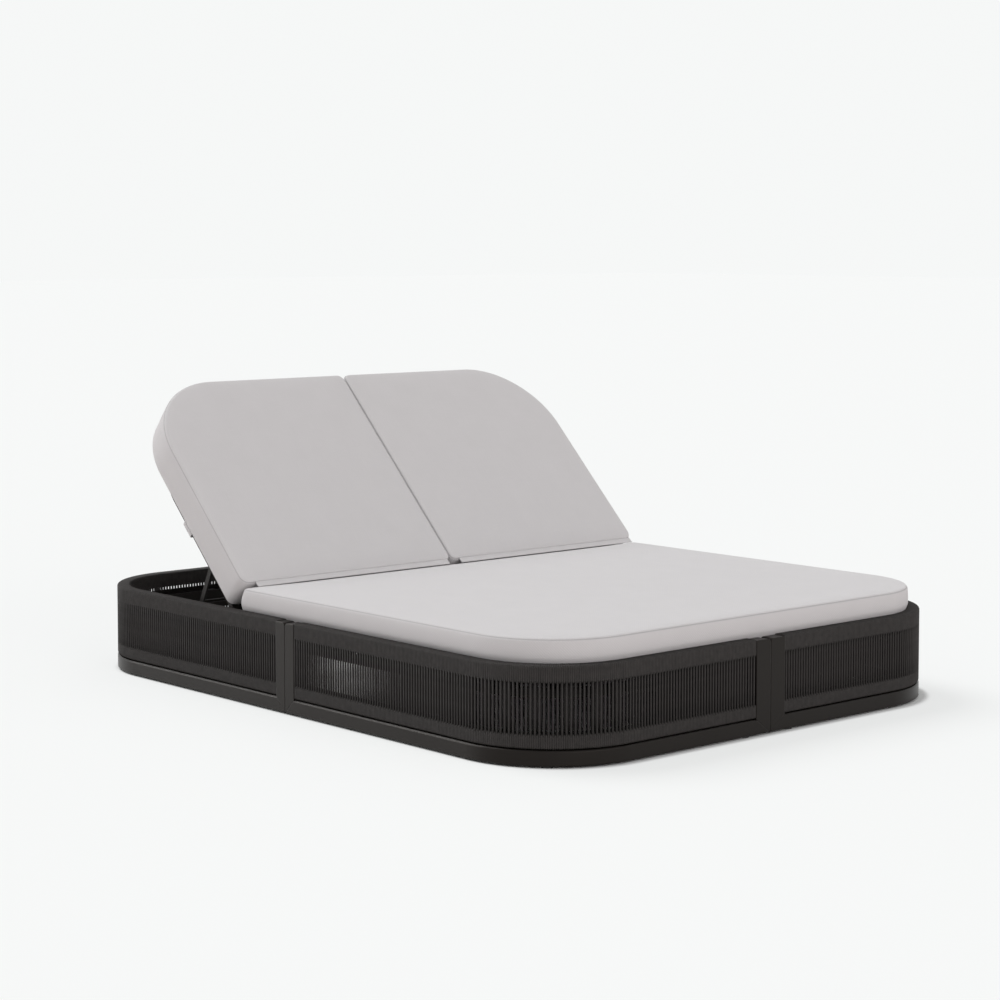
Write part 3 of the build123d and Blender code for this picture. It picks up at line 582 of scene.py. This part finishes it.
def outline(box, radii, steps_u, steps_v):
    """Give a loop of points around a box with its own radius at each corner.

    Each side starts in the middle of one corner's arc and ends in the middle of
    the next one's: half an arc, a straight run, half an arc, by length.
    """
    left, right, front, rear = box
    corners = np.array([(left, front), (right, front), (right, rear), (left, rear)])
    sides = []
    for index, steps in enumerate((steps_u, steps_v, steps_u, steps_v)):
        start, end = corners[index], corners[(index + 1) % 4]
        first, last = radii[index], radii[(index + 1) % 4]
        length = np.linalg.norm(end - start)
        way = (end - start) / length
        inward = np.array([-way[1], way[0]])
        straight = length - first - last
        gone = even_steps(steps)[:-1] * ((first + last) * math.pi / 4 + straight)
        turn_first = np.clip(gone / first - math.pi / 4, -math.pi / 4, 0)
        turn_last = np.clip((gone - first * math.pi / 4 - straight) / last, 0, math.pi / 4)
        flat = np.clip(gone - first * math.pi / 4, 0, straight)
        bend = np.where(turn_last > 0, last, first)
        turn = turn_first + turn_last
        along_side = first + flat + bend * np.sin(turn)
        off_side = bend * (1 - np.cos(turn))
        sides.append(start + along_side[:, None] * way + off_side[:, None] * inward)
    return np.concatenate(sides)


# %% Panels inside an outline
def panel_grid(loop, steps_u, steps_v):
    """Stretch a grid between the four sides of a loop, by Coons' rule.

    A point is the blend of the two sides across it plus the blend of the other
    two, less the blend of the four corners that both have counted.
    """
    ring = np.concatenate([loop, loop[:1]])
    front = ring[: steps_u + 1]
    right = ring[steps_u : steps_u + steps_v + 1]
    rear = ring[steps_u + steps_v : 2 * steps_u + steps_v + 1][::-1]
    left = ring[2 * steps_u + steps_v :][::-1]
    a = even_steps(steps_u)[:, None, None]
    b = even_steps(steps_v)[None, :, None]
    across = (1 - b) * front[:, None] + b * rear[:, None]
    up = (1 - a) * left[None] + a * right[None]
    corners = (1 - a) * (1 - b) * front[0] + a * (1 - b) * front[-1]
    corners = corners + (1 - a) * b * rear[0] + a * b * rear[-1]
    return across + up - corners


def panel_patch(ring, ring_row, steps, first_id):
    """Fill a ring: the grid's rim takes the ring's points, and its inner points are new."""
    steps_u, steps_v = steps
    grid = panel_grid(ring, steps_u, steps_v)
    ids = np.full(grid.shape[:2], -1)
    row = np.append(ring_row, ring_row[0])
    ids[:, 0] = row[: steps_u + 1]
    ids[-1, :] = row[steps_u : steps_u + steps_v + 1]
    ids[:, -1] = row[steps_u + steps_v : 2 * steps_u + steps_v + 1][::-1]
    ids[0, :] = row[2 * steps_u + steps_v :][::-1]
    ids[1:-1, 1:-1] = np.arange((steps_u - 1) * (steps_v - 1)).reshape(steps_u - 1, -1) + first_id
    corners = [grid[:-1, :-1], grid[1:, :-1], grid[1:, 1:], grid[:-1, 1:]]
    return grid[1:-1, 1:-1], grid_quads(ids), np.stack(corners, 2).reshape(-1, 4, 2)


def edge_distance(points, loop, batches=40):
    """Give each point's distance to the nearest point of a dense loop."""
    dense = np.concatenate([loop, (loop + np.roll(loop, -1, 0)) / 2])
    groups = np.array_split(points.reshape(-1, 2), batches)
    nearest = [np.linalg.norm(group[:, None] - dense[None], axis=2).min(1) for group in groups]
    return np.concatenate(nearest).reshape(points.shape[:-1])


# %% Levels of a cushion
groove_depth = 2.0 * MM
groove_half = 2.2 * MM
boxing_shares = np.linspace(0.08, 0.92, 13)
bulge_start = 0.3
bulge_power = 0.7
roll_steps = np.array([0.14, 0.3, 0.5, 0.75, 1.1])
roll_least_radius = 5 * MM
swell_run = 150 * MM


def crown(distance, roll, reach, swell):
    """Rise of a filled panel above its seam: a quarter round of some reach, then a slow swell."""
    left = 1 - np.clip(distance / reach, 0, 1)
    return roll * np.sqrt(1 - left**2) + swell * (1 - np.exp(-distance / swell_run))


def bulging(share):
    """Tell how far a boxing bulges at a share of its height: most midway up its free upper part."""
    return np.sin(np.pi * np.clip((share - bulge_start) / (1 - bulge_start), 0, 1)) ** bulge_power


def cover_rings(box, lean, leaning, radii, levels, filling, puff, steps):
    """Give the outlines and heights up the boxing and over the roll, and which one is the seam.

    At a share of the boxing's height, the outline is the box less what is left
    of the lean, plus the bulge. The seams' outlines lie in their grooves. Above,
    each outline shrinks by its reach and the crown gives its height.
    """
    rear_w, seam_w = levels
    groove = groove_half / (seam_w - rear_w)
    shares = np.concatenate([[0, groove], boxing_shares, [1 - groove, 1]])
    inward = np.array([1, -1, 1, -1])
    rings, heights = [], []
    for share in shares:
        inset = lean * np.interp(share, np.linspace(0, 1, len(leaning)), leaning)
        bulge = puff * bulging(share) - (groove_depth if share in (0, 1) else 0)
        turned_in = (inset[[0, 1, 1, 0]] + inset[[2, 2, 3, 3]]) / 2
        rings.append(outline(box + (inset - bulge) * inward, radii - turned_in + bulge, *steps))
        heights.append(np.full(len(rings[0]), rear_w + share * (seam_w - rear_w)))
    seam_loop = rings[-1]
    reaches = np.append(groove_half, roll_steps[1:] * filling[1])
    for reach in reaches:
        edge = outline(box + reach * inward, np.maximum(radii - reach, roll_least_radius), *steps)
        rings.append(edge)
        heights.append(seam_w + crown(edge_distance(edge, seam_loop), *filling))
    rise = np.array([w.mean() for w in heights]) - rear_w
    rise[len(shares) :] += reaches
    return rings, heights, rise, len(shares) - 1


# %% Cushion mesh
panel_limit = 2.5 * MM
boxing_limit = 0.8 * MM
level_slack = 1e-6


def cushion_mesh(name, axes, box, lean, leaning, radii, levels, filling, puff, steps):
    """Build a closed box cushion and the arrays that its simulation needs.

    axes turn (u, v, w) into X, Y and Z. box is the seam's outline and radii are
    its corner radii. lean is the inset of the rear outline on each side, and
    leaning the shares of it that are left from the rear up to the seam. levels
    are the rear and the seam heights, filling is the crown's roll, reach and
    swell, and puff is the bulge of the boxing.
    """
    rings, heights, rise, seam = cover_rings(box, lean, leaning, radii, levels, filling, puff, steps)
    rear_w, seam_w = levels
    ring_ids = np.arange(len(rings) * len(rings[0])).reshape(len(rings), -1)
    loop = np.concatenate([rings[seam], rings[seam][:1]])
    girth = np.concatenate([[0], np.cumsum(np.linalg.norm(np.diff(loop, axis=0), axis=1))])
    points = [np.column_stack(pair) for pair in zip(rings, heights)]
    quads = [grid_quads(closed(ring_ids))[:, ::-1]]
    uvs = [grid_uvs(rise, girth)[:, ::-1]]
    count = ring_ids.size
    for end, order in ((-1, 1), (0, -1)):
        inner, faces, plane = panel_patch(rings[end], ring_ids[end], steps, count)
        w = np.full(inner.shape[:2], rear_w)
        if end == -1:
            w = seam_w + crown(edge_distance(inner, rings[seam]), *filling)
        points.append(np.concatenate([inner, w[..., None]], -1).reshape(-1, 3))
        quads.append(faces[:, ::order])
        uvs.append(plane[:, ::order])
        count += w.size
    local = np.concatenate(points)
    origin, turn = axes
    piece = new_piece(name, origin + local @ turn, np.concatenate(quads), np.concatenate(uvs))
    # The seam points get the cloth's painted seam shade.
    seam_shade_mask = np.zeros(len(local), np.float32)
    seam_shade_mask[ring_ids[[0, seam]]] = 1
    piece.data.attributes.new("seam", "FLOAT", "POINT").data.foreach_set("value", seam_shade_mask)
    pins = np.zeros(len(local))
    pins[ring_ids[:2]] = 1
    pins[ring_ids[seam - 1 :]] = 1
    pins[local[:, 2] < rear_w + level_slack] = 1
    limit = np.full(len(local), panel_limit)
    limit[ring_ids[: seam + 1]] = boxing_limit
    return piece, pins, limit


# %% [markdown]
# ## Filling the covers
#
# The crown could be sculpted by hand, but a simulation spreads the fullness as
# real cloth does. It runs for twenty frames with an inner pressure and no
# gravity, with the seams and the underside pinned. How far a point may move is
# capped, and then the moved points are written into the mesh, so nothing is
# left for Blender to simulate later. Nothing in it is random, so it gives the
# same result every time.


# %% Cloth simulation
fill_frames = 20
fill_pressure = 3.0


def fill_cover(piece, pins, limit):
    """Blow a cover up with pinned seams and keep each point's move below its limit."""
    started = time.time()
    group = piece.vertex_groups.new(name="seams")
    for level in np.unique(pins[pins > 0]):
        group.add(np.flatnonzero(pins == level).tolist(), float(level), "REPLACE")
    rest = np.empty(len(pins) * 3, np.float32)
    piece.data.vertices.foreach_get("co", rest)
    cloth = piece.modifiers.new("fill", "CLOTH")
    settings = cloth.settings
    settings.quality = 5
    settings.mass = 0.3
    settings.tension_stiffness = 12
    settings.compression_stiffness = 12
    settings.shear_stiffness = 4
    settings.bending_stiffness = 0.4
    settings.air_damping = 4
    settings.use_pressure = True
    settings.uniform_pressure_force = fill_pressure
    settings.vertex_group_mass = "seams"
    settings.effector_weights.gravity = 0
    cloth.collision_settings.use_collision = False
    cloth.point_cache.frame_start = 1
    cloth.point_cache.frame_end = fill_frames
    scene = bpy.context.scene
    for step in range(1, fill_frames + 1):
        scene.frame_set(step)
    graph = bpy.context.evaluated_depsgraph_get()
    moved = np.empty_like(rest)
    piece.evaluated_get(graph).data.vertices.foreach_get("co", moved)
    move = (moved - rest).reshape(-1, 3)
    length = np.linalg.norm(move, axis=1)
    scale = limit * np.tanh(length / limit) / np.maximum(length, 1e-9)
    filled = rest.reshape(-1, 3) + move * scale[:, None]
    piece.modifiers.remove(cloth)
    scene.frame_set(1)
    piece.data.vertices.foreach_set("co", filled.astype(np.float32).ravel())
    piece.data.update()
    piece.vertex_groups.clear()
    print(piece.name, "pushed up to", round(float(length.max()), 4), "m before the cap")
    print("that took", round(time.time() - started, 1), "s")


def smooth_cover(piece):
    """Add one level of subdivision, the same in the view and in the render."""
    smooth = piece.modifiers.new("smooth", "SUBSURF")
    smooth.levels = 1
    smooth.render_levels = 1
    smooth.use_limit_surface = False


# %% [markdown]
# ## Seat cushion
#
# The seat fills the frame, and its foot corners follow the walls. Its lower
# part is a little narrower, to fit between the walls, and above them the boxing
# swells out over their edge. Towards the backs its end is square in plan and
# round from the side, which an arc in the numbers gives more evenly than a
# Bevel modifier on so dense a mesh.


# %% Seat cushion
def round_end(piece, end, top, radius):
    """Round off the square rear end of a cushion with an arc.

    Take a square of the radius' size at the end's top edge. A point's place in
    it is measured from the square's inner corner, and each L-shaped shell of
    the square is pulled onto the arc that has the shell's reach as its radius.
    """
    points = np.empty(len(piece.data.vertices) * 3, np.float32)
    piece.data.vertices.foreach_get("co", points)
    points = points.reshape(-1, 3)
    within = points[:, 1:] - (end - radius, top - radius)
    inside = (within > 0).all(1)
    shell = within[inside]
    shell *= (shell.max(1) / np.linalg.norm(shell, axis=1))[:, None]
    points[inside, 1:] = shell + (end - radius, top - radius)
    piece.data.vertices.foreach_set("co", points.ravel())
    piece.data.update()


seat, seat_pins, seat_limit = cushion_mesh(
    "seat_cushion_cover",
    axes=(np.zeros(3), np.eye(3)),
    box=np.array([-766, 766, -1007, 261.9]) * MM,
    lean=np.array([9, 9, 8.5, 0]) * MM,
    leaning=[1, 1, 1, 1, 0.55, 0, 0, 0, 0, 0],
    radii=np.array([253, 253, 24, 24]) * MM,
    levels=(203.6 * MM, 311 * MM),
    filling=(4.5 * MM, 9 * MM, 4 * MM),
    puff=2.5 * MM,
    steps=(96, 80),
)
round_end(seat, end=264 * MM, top=318.5 * MM, radius=40 * MM)
fill_cover(seat, seat_pins, seat_limit)
smooth_cover(seat)
finish(seat, cushion_cloth, "base")
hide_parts("seat_cushion")

# %% [markdown]
# ## Back cushions
#
# The two backs are mirror images, each with one wide corner at its outer top.
# They are drawn lying on the tilted back frame: u runs across, v up the slope
# and w out of it. Turning a flat object would be easier, but the export wants
# each piece unturned, with its place in its mesh. Laid flat, each one
# just meets the head wall and the seat, and the foam gives way there: the
# cushion shortens a little as the hinge turns.

# %% Back cushions
tilt = math.radians(45)
hinge_place = np.array([0, 281.5, 184]) * MM
slope_turn = np.array([[1, 0, 0], [0, math.cos(tilt), math.sin(tilt)], [0, -math.sin(tilt), math.cos(tilt)]])
back_seam = 127 * MM
back_foot = 75 * MM
mirror_x = ((-1, 0, 0, 0), (0, 1, 0, 0), (0, 0, 1, 0), (0, 0, 0, 1))
for side in ("left", "right"):
    back, back_pins, back_limit = cushion_mesh(
        f"back_cushion_cover_{side}",
        axes=(hinge_place, slope_turn),
        box=np.array([-765, -1.5, back_foot / MM, 828]) * MM,
        lean=np.array([10, 0.5, 6, 2]) * MM,
        leaning=[1, 0.87, 0.72, 0.54, 0.35, 0.17, 0],
        radii=np.array([27, 16, 22, 261]) * MM,
        levels=(20.2 * MM, back_seam),
        filling=(5 * MM, 9 * MM, 5 * MM),
        puff=0.8 * MM,
        steps=(60, 58),
    )
    fill_cover(back, back_pins, back_limit)
    if side == "right":
        back.data.transform(mirror_x)
        back.data.flip_normals()
    smooth_cover(back)
    finish(back, cushion_cloth, f"cushion_{side}")
    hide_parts(f"back_cushion_{side}")
    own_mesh(back)

# %% [markdown]
# ## Sewn flaps and straps
#
# A flap of doubled cloth hangs from the lower seam of each back and closes the
# gap to the seat. Behind, two cloth straps hold each cushion on the bars of its
# frame, and slide along them. Both are thin sections carried along a line, and
# their ends and edges are thinned to a close, as folded and stitched cloth is.
# A strip with a Solidify modifier would have square, hard edges instead.


# %% Thin sections
def thin_part(outer, inner, stations, slim, order):
    """Carry a thin closed section along a line, with its ends drawn onto its middle.

    outer and inner are the section's two faces, stations the places along the
    line and slim the share of the thickness at each. order says which of
    station, first and second value are u, v and w on the sloping back.
    """
    ring = np.concatenate([outer, inner[::-1]])
    middle = (outer + inner) / 2
    middle = np.concatenate([middle, middle[::-1]])
    rows = middle + (ring - middle) * slim[:, None, None]
    places = np.broadcast_to(stations[:, None, None], (*rows.shape[:2], 1))
    local = np.concatenate([places, rows], 2)[..., order]
    points = (hinge_place + local @ slope_turn).reshape(-1, 3)
    ids = np.arange(len(points)).reshape(rows.shape[:2])
    around = np.append(0, np.cumsum(np.linalg.norm(ring - np.roll(ring, -1, 0), axis=1)))
    return points, grid_quads(closed(ids)), grid_uvs(stations, around)


def join_parts(name, parts, mirrored=False):
    """Make one piece of several closed parts, with each part's faces turned outwards.

    A closed part's volume is the sum of a third of each face's corner, dotted
    with the face's area vector. Where it comes out negative, the faces are turned.
    """
    all_points, all_quads, all_uvs, count = [], [], [], 0
    for points, quads, uv in parts:
        if mirrored:
            points = points * (-1, 1, 1)
        first, second, third, fourth = (points[quads[:, corner]] for corner in range(4))
        volume = (first * np.cross(third - first, fourth - second)).sum()
        turned = slice(None, None, -1 if volume < 0 else 1)
        all_points.append(points)
        all_quads.append(quads[:, turned] + count)
        all_uvs.append(uv[:, turned])
        count += len(points)
    return new_piece(name, *map(np.concatenate, (all_points, all_quads, all_uvs)))


def thin_end(along, reach):
    """Give the share of the thickness near both ends of a line: a quarter round of some reach."""
    near = np.clip(np.minimum(along - along[0], along[-1] - along) / reach, 0, 1)
    return np.sqrt(1 - (1 - near) ** 2)


# %% Flaps along the lower edges of the backs
flap_drop = 16.5 * MM
flap_half = 1.9 * MM
flap_root = 2 * MM
flap_hem = 2 * MM
flap_lift = (0.4 * MM, 1.6 * MM)
flap_end_run = 14 * MM
flap_end_round = 3 * MM
flap_spans = {"left": (-720 * MM, -15 * MM), "right": (31.5 * MM, 752 * MM)}
hem_steps = np.array([1.8, 0.9, 0.3, 0]) * MM
drops = np.concatenate([np.linspace(-flap_root, flap_drop - 3 * MM, 6), flap_drop - hem_steps])
flap_rise = flap_half * np.sqrt(1 - np.clip((drops - flap_drop + flap_hem) / flap_hem, 0, 1) ** 2)
flap_middle = back_seam + np.interp(drops, (0, flap_drop), flap_lift)
flap_faces = [np.stack([back_foot - drops, flap_middle + turned * flap_rise], 1) for turned in (1, -1)]
flap_ends = np.array([0, 0.3, 0.8, 1.6, 2.8, 4.2, 6]) * MM
for side, (first_x, last_x) in flap_spans.items():
    between = np.linspace(first_x + flap_end_run, last_x - flap_end_run, 40)
    stations = np.concatenate([first_x + flap_ends, between, last_x - flap_ends[::-1]])
    part = thin_part(*flap_faces, stations, thin_end(stations, flap_end_round), [0, 1, 2])
    flap = join_parts(f"closing_flap_{side}", [part])
    finish(flap, cushion_cloth, f"cushion_{side}")
    print(flap.name, "is", round(last_x - first_x, 3), "m long")

# %% Straps behind the backs
strap_thickness = 2.3 * MM
strap_low = 4.6 * MM
strap_top = 21 * MM
strap_bend = 8 * MM
strap_ends = (342 * MM, 391 * MM)
strap_end_run = 8 * MM
strap_end_round = 1.2 * MM
strap_spans = ((-755.5 * MM, -724.3 * MM), (-28.7 * MM, -5.3 * MM))


def strap_face(left, right, inset):
    """Give one face of a strap's U-shaped section: down, round two bends and up."""
    bend = strap_bend - inset
    angles = np.radians(np.linspace(180, 270, 8))
    arc = np.stack([np.cos(angles), np.sin(angles)], 1) * bend
    near = arc + (left + inset + bend, strap_low + inset + bend)
    far = arc[::-1] * (-1, 1) + (right - inset - bend, strap_low + inset + bend)
    return np.concatenate([[(left + inset, strap_top)], near, far, [(right - inset, strap_top)]])


strap_steps = np.array([0, 0.15, 0.5, 1.1, 2, 4]) * MM
between = np.linspace(strap_ends[0] + strap_end_run, strap_ends[1] - strap_end_run, 5)
stations = np.concatenate([strap_ends[0] + strap_steps, between, strap_ends[1] - strap_steps[::-1]])
for side in ("left", "right"):
    parts = []
    for left, right in strap_spans:
        faces = strap_face(left, right, 0), strap_face(left, right, strap_thickness)
        parts.append(thin_part(*faces, stations, thin_end(stations, strap_end_round), [1, 0, 2]))
    straps = join_parts(f"cushion_straps_{side}", parts, mirrored=side == "right")
    finish(straps, cushion_cloth, f"cushion_{side}")
    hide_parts(f"cushion_loops_{side}")

# %% [markdown]
# ## Finishes of the metal and plastic parts
#
# The rails, posts, beams, slats, hinges and stays could be drawn again here,
# but they already have their true shape in the CAD model. So they stay, and
# each gets the material that its slot in the record asks for.

# %% Materials for the CAD parts
finishes = {
    "frame_metal": frame_metal,
    "deck_metal": deck_metal,
    "pin_steel": pin_steel,
    "glide_plastic": glide_plastic,
    "pad_rubber": pad_rubber,
    "cushion_fabric": cushion_cloth,
    "rope": rope_material,
}
slots = {part["node"]: part["material_slot"] for part in frame["record"]["subparts"]}
for name, piece in nodes.items():
    piece.data.materials.clear()
    piece.data.materials.append(finishes[slots[name]])
print("materials given to", len(nodes), "CAD nodes")

# %% [markdown]
# ## Floor
#
# The photograph is a clean studio picture on near-white paper. A sheet with a
# bend behind the lounger would show from other sides, so the floor is a wide
# plane in the backdrop's colour. Beyond the frame's outline, the camera sees it
# partly as paper that glows by itself, so the shadow there is as pale as in the
# picture, while it stays deep under the frame. The light that the floor throws
# back up is that of a duller, warmer paper.

# %% Floor
paper_white = (0.922, 0.934, 0.929, 1)
paper_bounce = (0.8, 0.755, 0.74, 1)
paper_glow = 0.72
glow_start = 3 * MM
glow_full = 28 * MM
floor_reach = 60.0
corners = np.array([[-1, -1, 0], [1, -1, 0], [1, 1, 0], [-1, 1, 0]]) * floor_reach
floor = new_piece("studio_floor", corners, np.array([[0, 1, 2, 3]]))
floor_material, tree, shader = new_material("studio_floor", Roughness=1.0, Specular_IOR_Level=0.0)


def seen_directly(tree):
    """Tell whether a ray comes from the camera, or from it by a mirror or through glass."""
    path = node(tree, "ShaderNodeLightPath")
    seen = maths(tree, "MAXIMUM", path.outputs["Is Camera Ray"], path.outputs["Is Glossy Ray"])
    return maths(tree, "MAXIMUM", seen, path.outputs["Is Transmission Ray"])


seen = seen_directly(tree)
paper = node(tree, "ShaderNodeMix", {0: seen}, data_type="RGBA")
paper.inputs[6].default_value = paper_bounce
paper.inputs[7].default_value = paper_white
tree.links.new(paper.outputs[2], shader.inputs["Base Color"])

# %% Distance from the frame's outline on the floor
shadow_drift = 14 * MM
place = node(tree, "ShaderNodeTexCoord")
spot = node(tree, "ShaderNodeSeparateXYZ", {0: place.outputs["Object"]})
past = []
for axis, reach, drift in ((0, corner_x, shadow_drift), (1, corner_y, 0.0)):
    side_place = maths(tree, "SUBTRACT", spot.outputs[axis], drift)
    away = maths(tree, "SUBTRACT", maths(tree, "ABSOLUTE", side_place), reach)
    past.append(maths(tree, "MAXIMUM", away, 0.0))
squares = [maths(tree, "MULTIPLY", way, way) for way in past]
outside = maths(tree, "SUBTRACT", maths(tree, "SQRT", maths(tree, "ADD", *squares)), corner_radius)
fade = node(tree, "ShaderNodeMapRange", {"Value": outside}, interpolation_type="SMOOTHSTEP")
for key, value in {"From Min": glow_start, "From Max": glow_full, "To Max": paper_glow}.items():
    fade.inputs[key].default_value = value
glow = node(tree, "ShaderNodeEmission")
glow.inputs["Color"].default_value = paper_white
mix = node(
    tree,
    "ShaderNodeMixShader",
    {0: maths(tree, "MULTIPLY", fade.outputs[0], seen), 1: shader.outputs[0], 2: glow.outputs[0]},
)
tree.links.new(mix.outputs[0], tree.nodes["Material Output"].inputs["Surface"])
floor.data.materials.append(floor_material)
print("the floor is", 2 * floor_reach, "m wide")

# %% [markdown]
# ## World
#
# White studio walls light the lounger evenly from all around. A picture of a
# studio could stand for them, but one plain grey does as well. The camera, gloss
# and glass see the backdrop's own white instead.

# %% World
sky_level = 0.53
world = bpy.data.worlds.new("studio")
bpy.context.scene.world = world
world.use_nodes = True
tree = world.node_tree
sky = tree.nodes["Background"]
sky.inputs["Color"].default_value = (1, 1, 1, 1)
sky.inputs["Strength"].default_value = sky_level
backdrop = node(tree, "ShaderNodeBackground", Strength=1.0)
backdrop.inputs["Color"].default_value = paper_white
mix = node(tree, "ShaderNodeMixShader", {0: seen_directly(tree), 1: sky.outputs[0], 2: backdrop.outputs[0]})
tree.links.new(mix.outputs[0], tree.nodes["World Output"].inputs["Surface"])
print("the sky gives", sky_level, "of the floor's light")

# %% [markdown]
# ## Lamps
#
# A soft key light from high behind on the left lays a short shadow in front of
# the foot end. A low, weak lamp from the same side catches the long side, and
# another from the foot end lights the boxings. Both are a little warm, as the
# boxings are in the picture. One more lamp stands for a bright wall that only
# shows as a sheen on the long side's metal, so it gives no diffuse light. Area
# lamps would leave a pool of light on the floor. Sun lamps light it equally
# everywhere, so floor and background meet without a line.


# %% Lamps
def sun(name, height, side, spread, energy, tint=(1, 1, 1)):
    """Add a sun lamp at a height and a turn to the left, as seen towards the head end, in degrees."""
    lamp = bpy.data.lights.new(name, "SUN")
    lamp.angle = math.radians(spread)
    lamp.energy = energy
    lamp.color = tint
    holder = bpy.data.objects.new(name, lamp)
    holder.rotation_euler = (math.radians(90 - height), 0, math.radians(180 + side))
    bpy.context.scene.collection.objects.link(holder)
    print(name, "gives", round(energy, 2), "W per square metre")
    return holder


weak_lamps = {"rim_light": (4, 36, 24, 0.15), "front_fill": (6, 178, 60, 1.4)}
floor_share = 1 - sky_level
for name, (height, side, spread, energy) in weak_lamps.items():
    sun(name, height, side, spread, energy, (1, 0.955, 0.94))
    floor_share -= energy * math.sin(math.radians(height)) / math.pi
key_height = 50
sun("key_light", key_height, 16, 35, floor_share * math.pi / math.sin(math.radians(key_height)))
sheen = sun("side_sheen", 5, 40, 30, 2.1)
sheen.visible_diffuse = False

bpy.context.scene.view_settings.view_transform = "Standard"
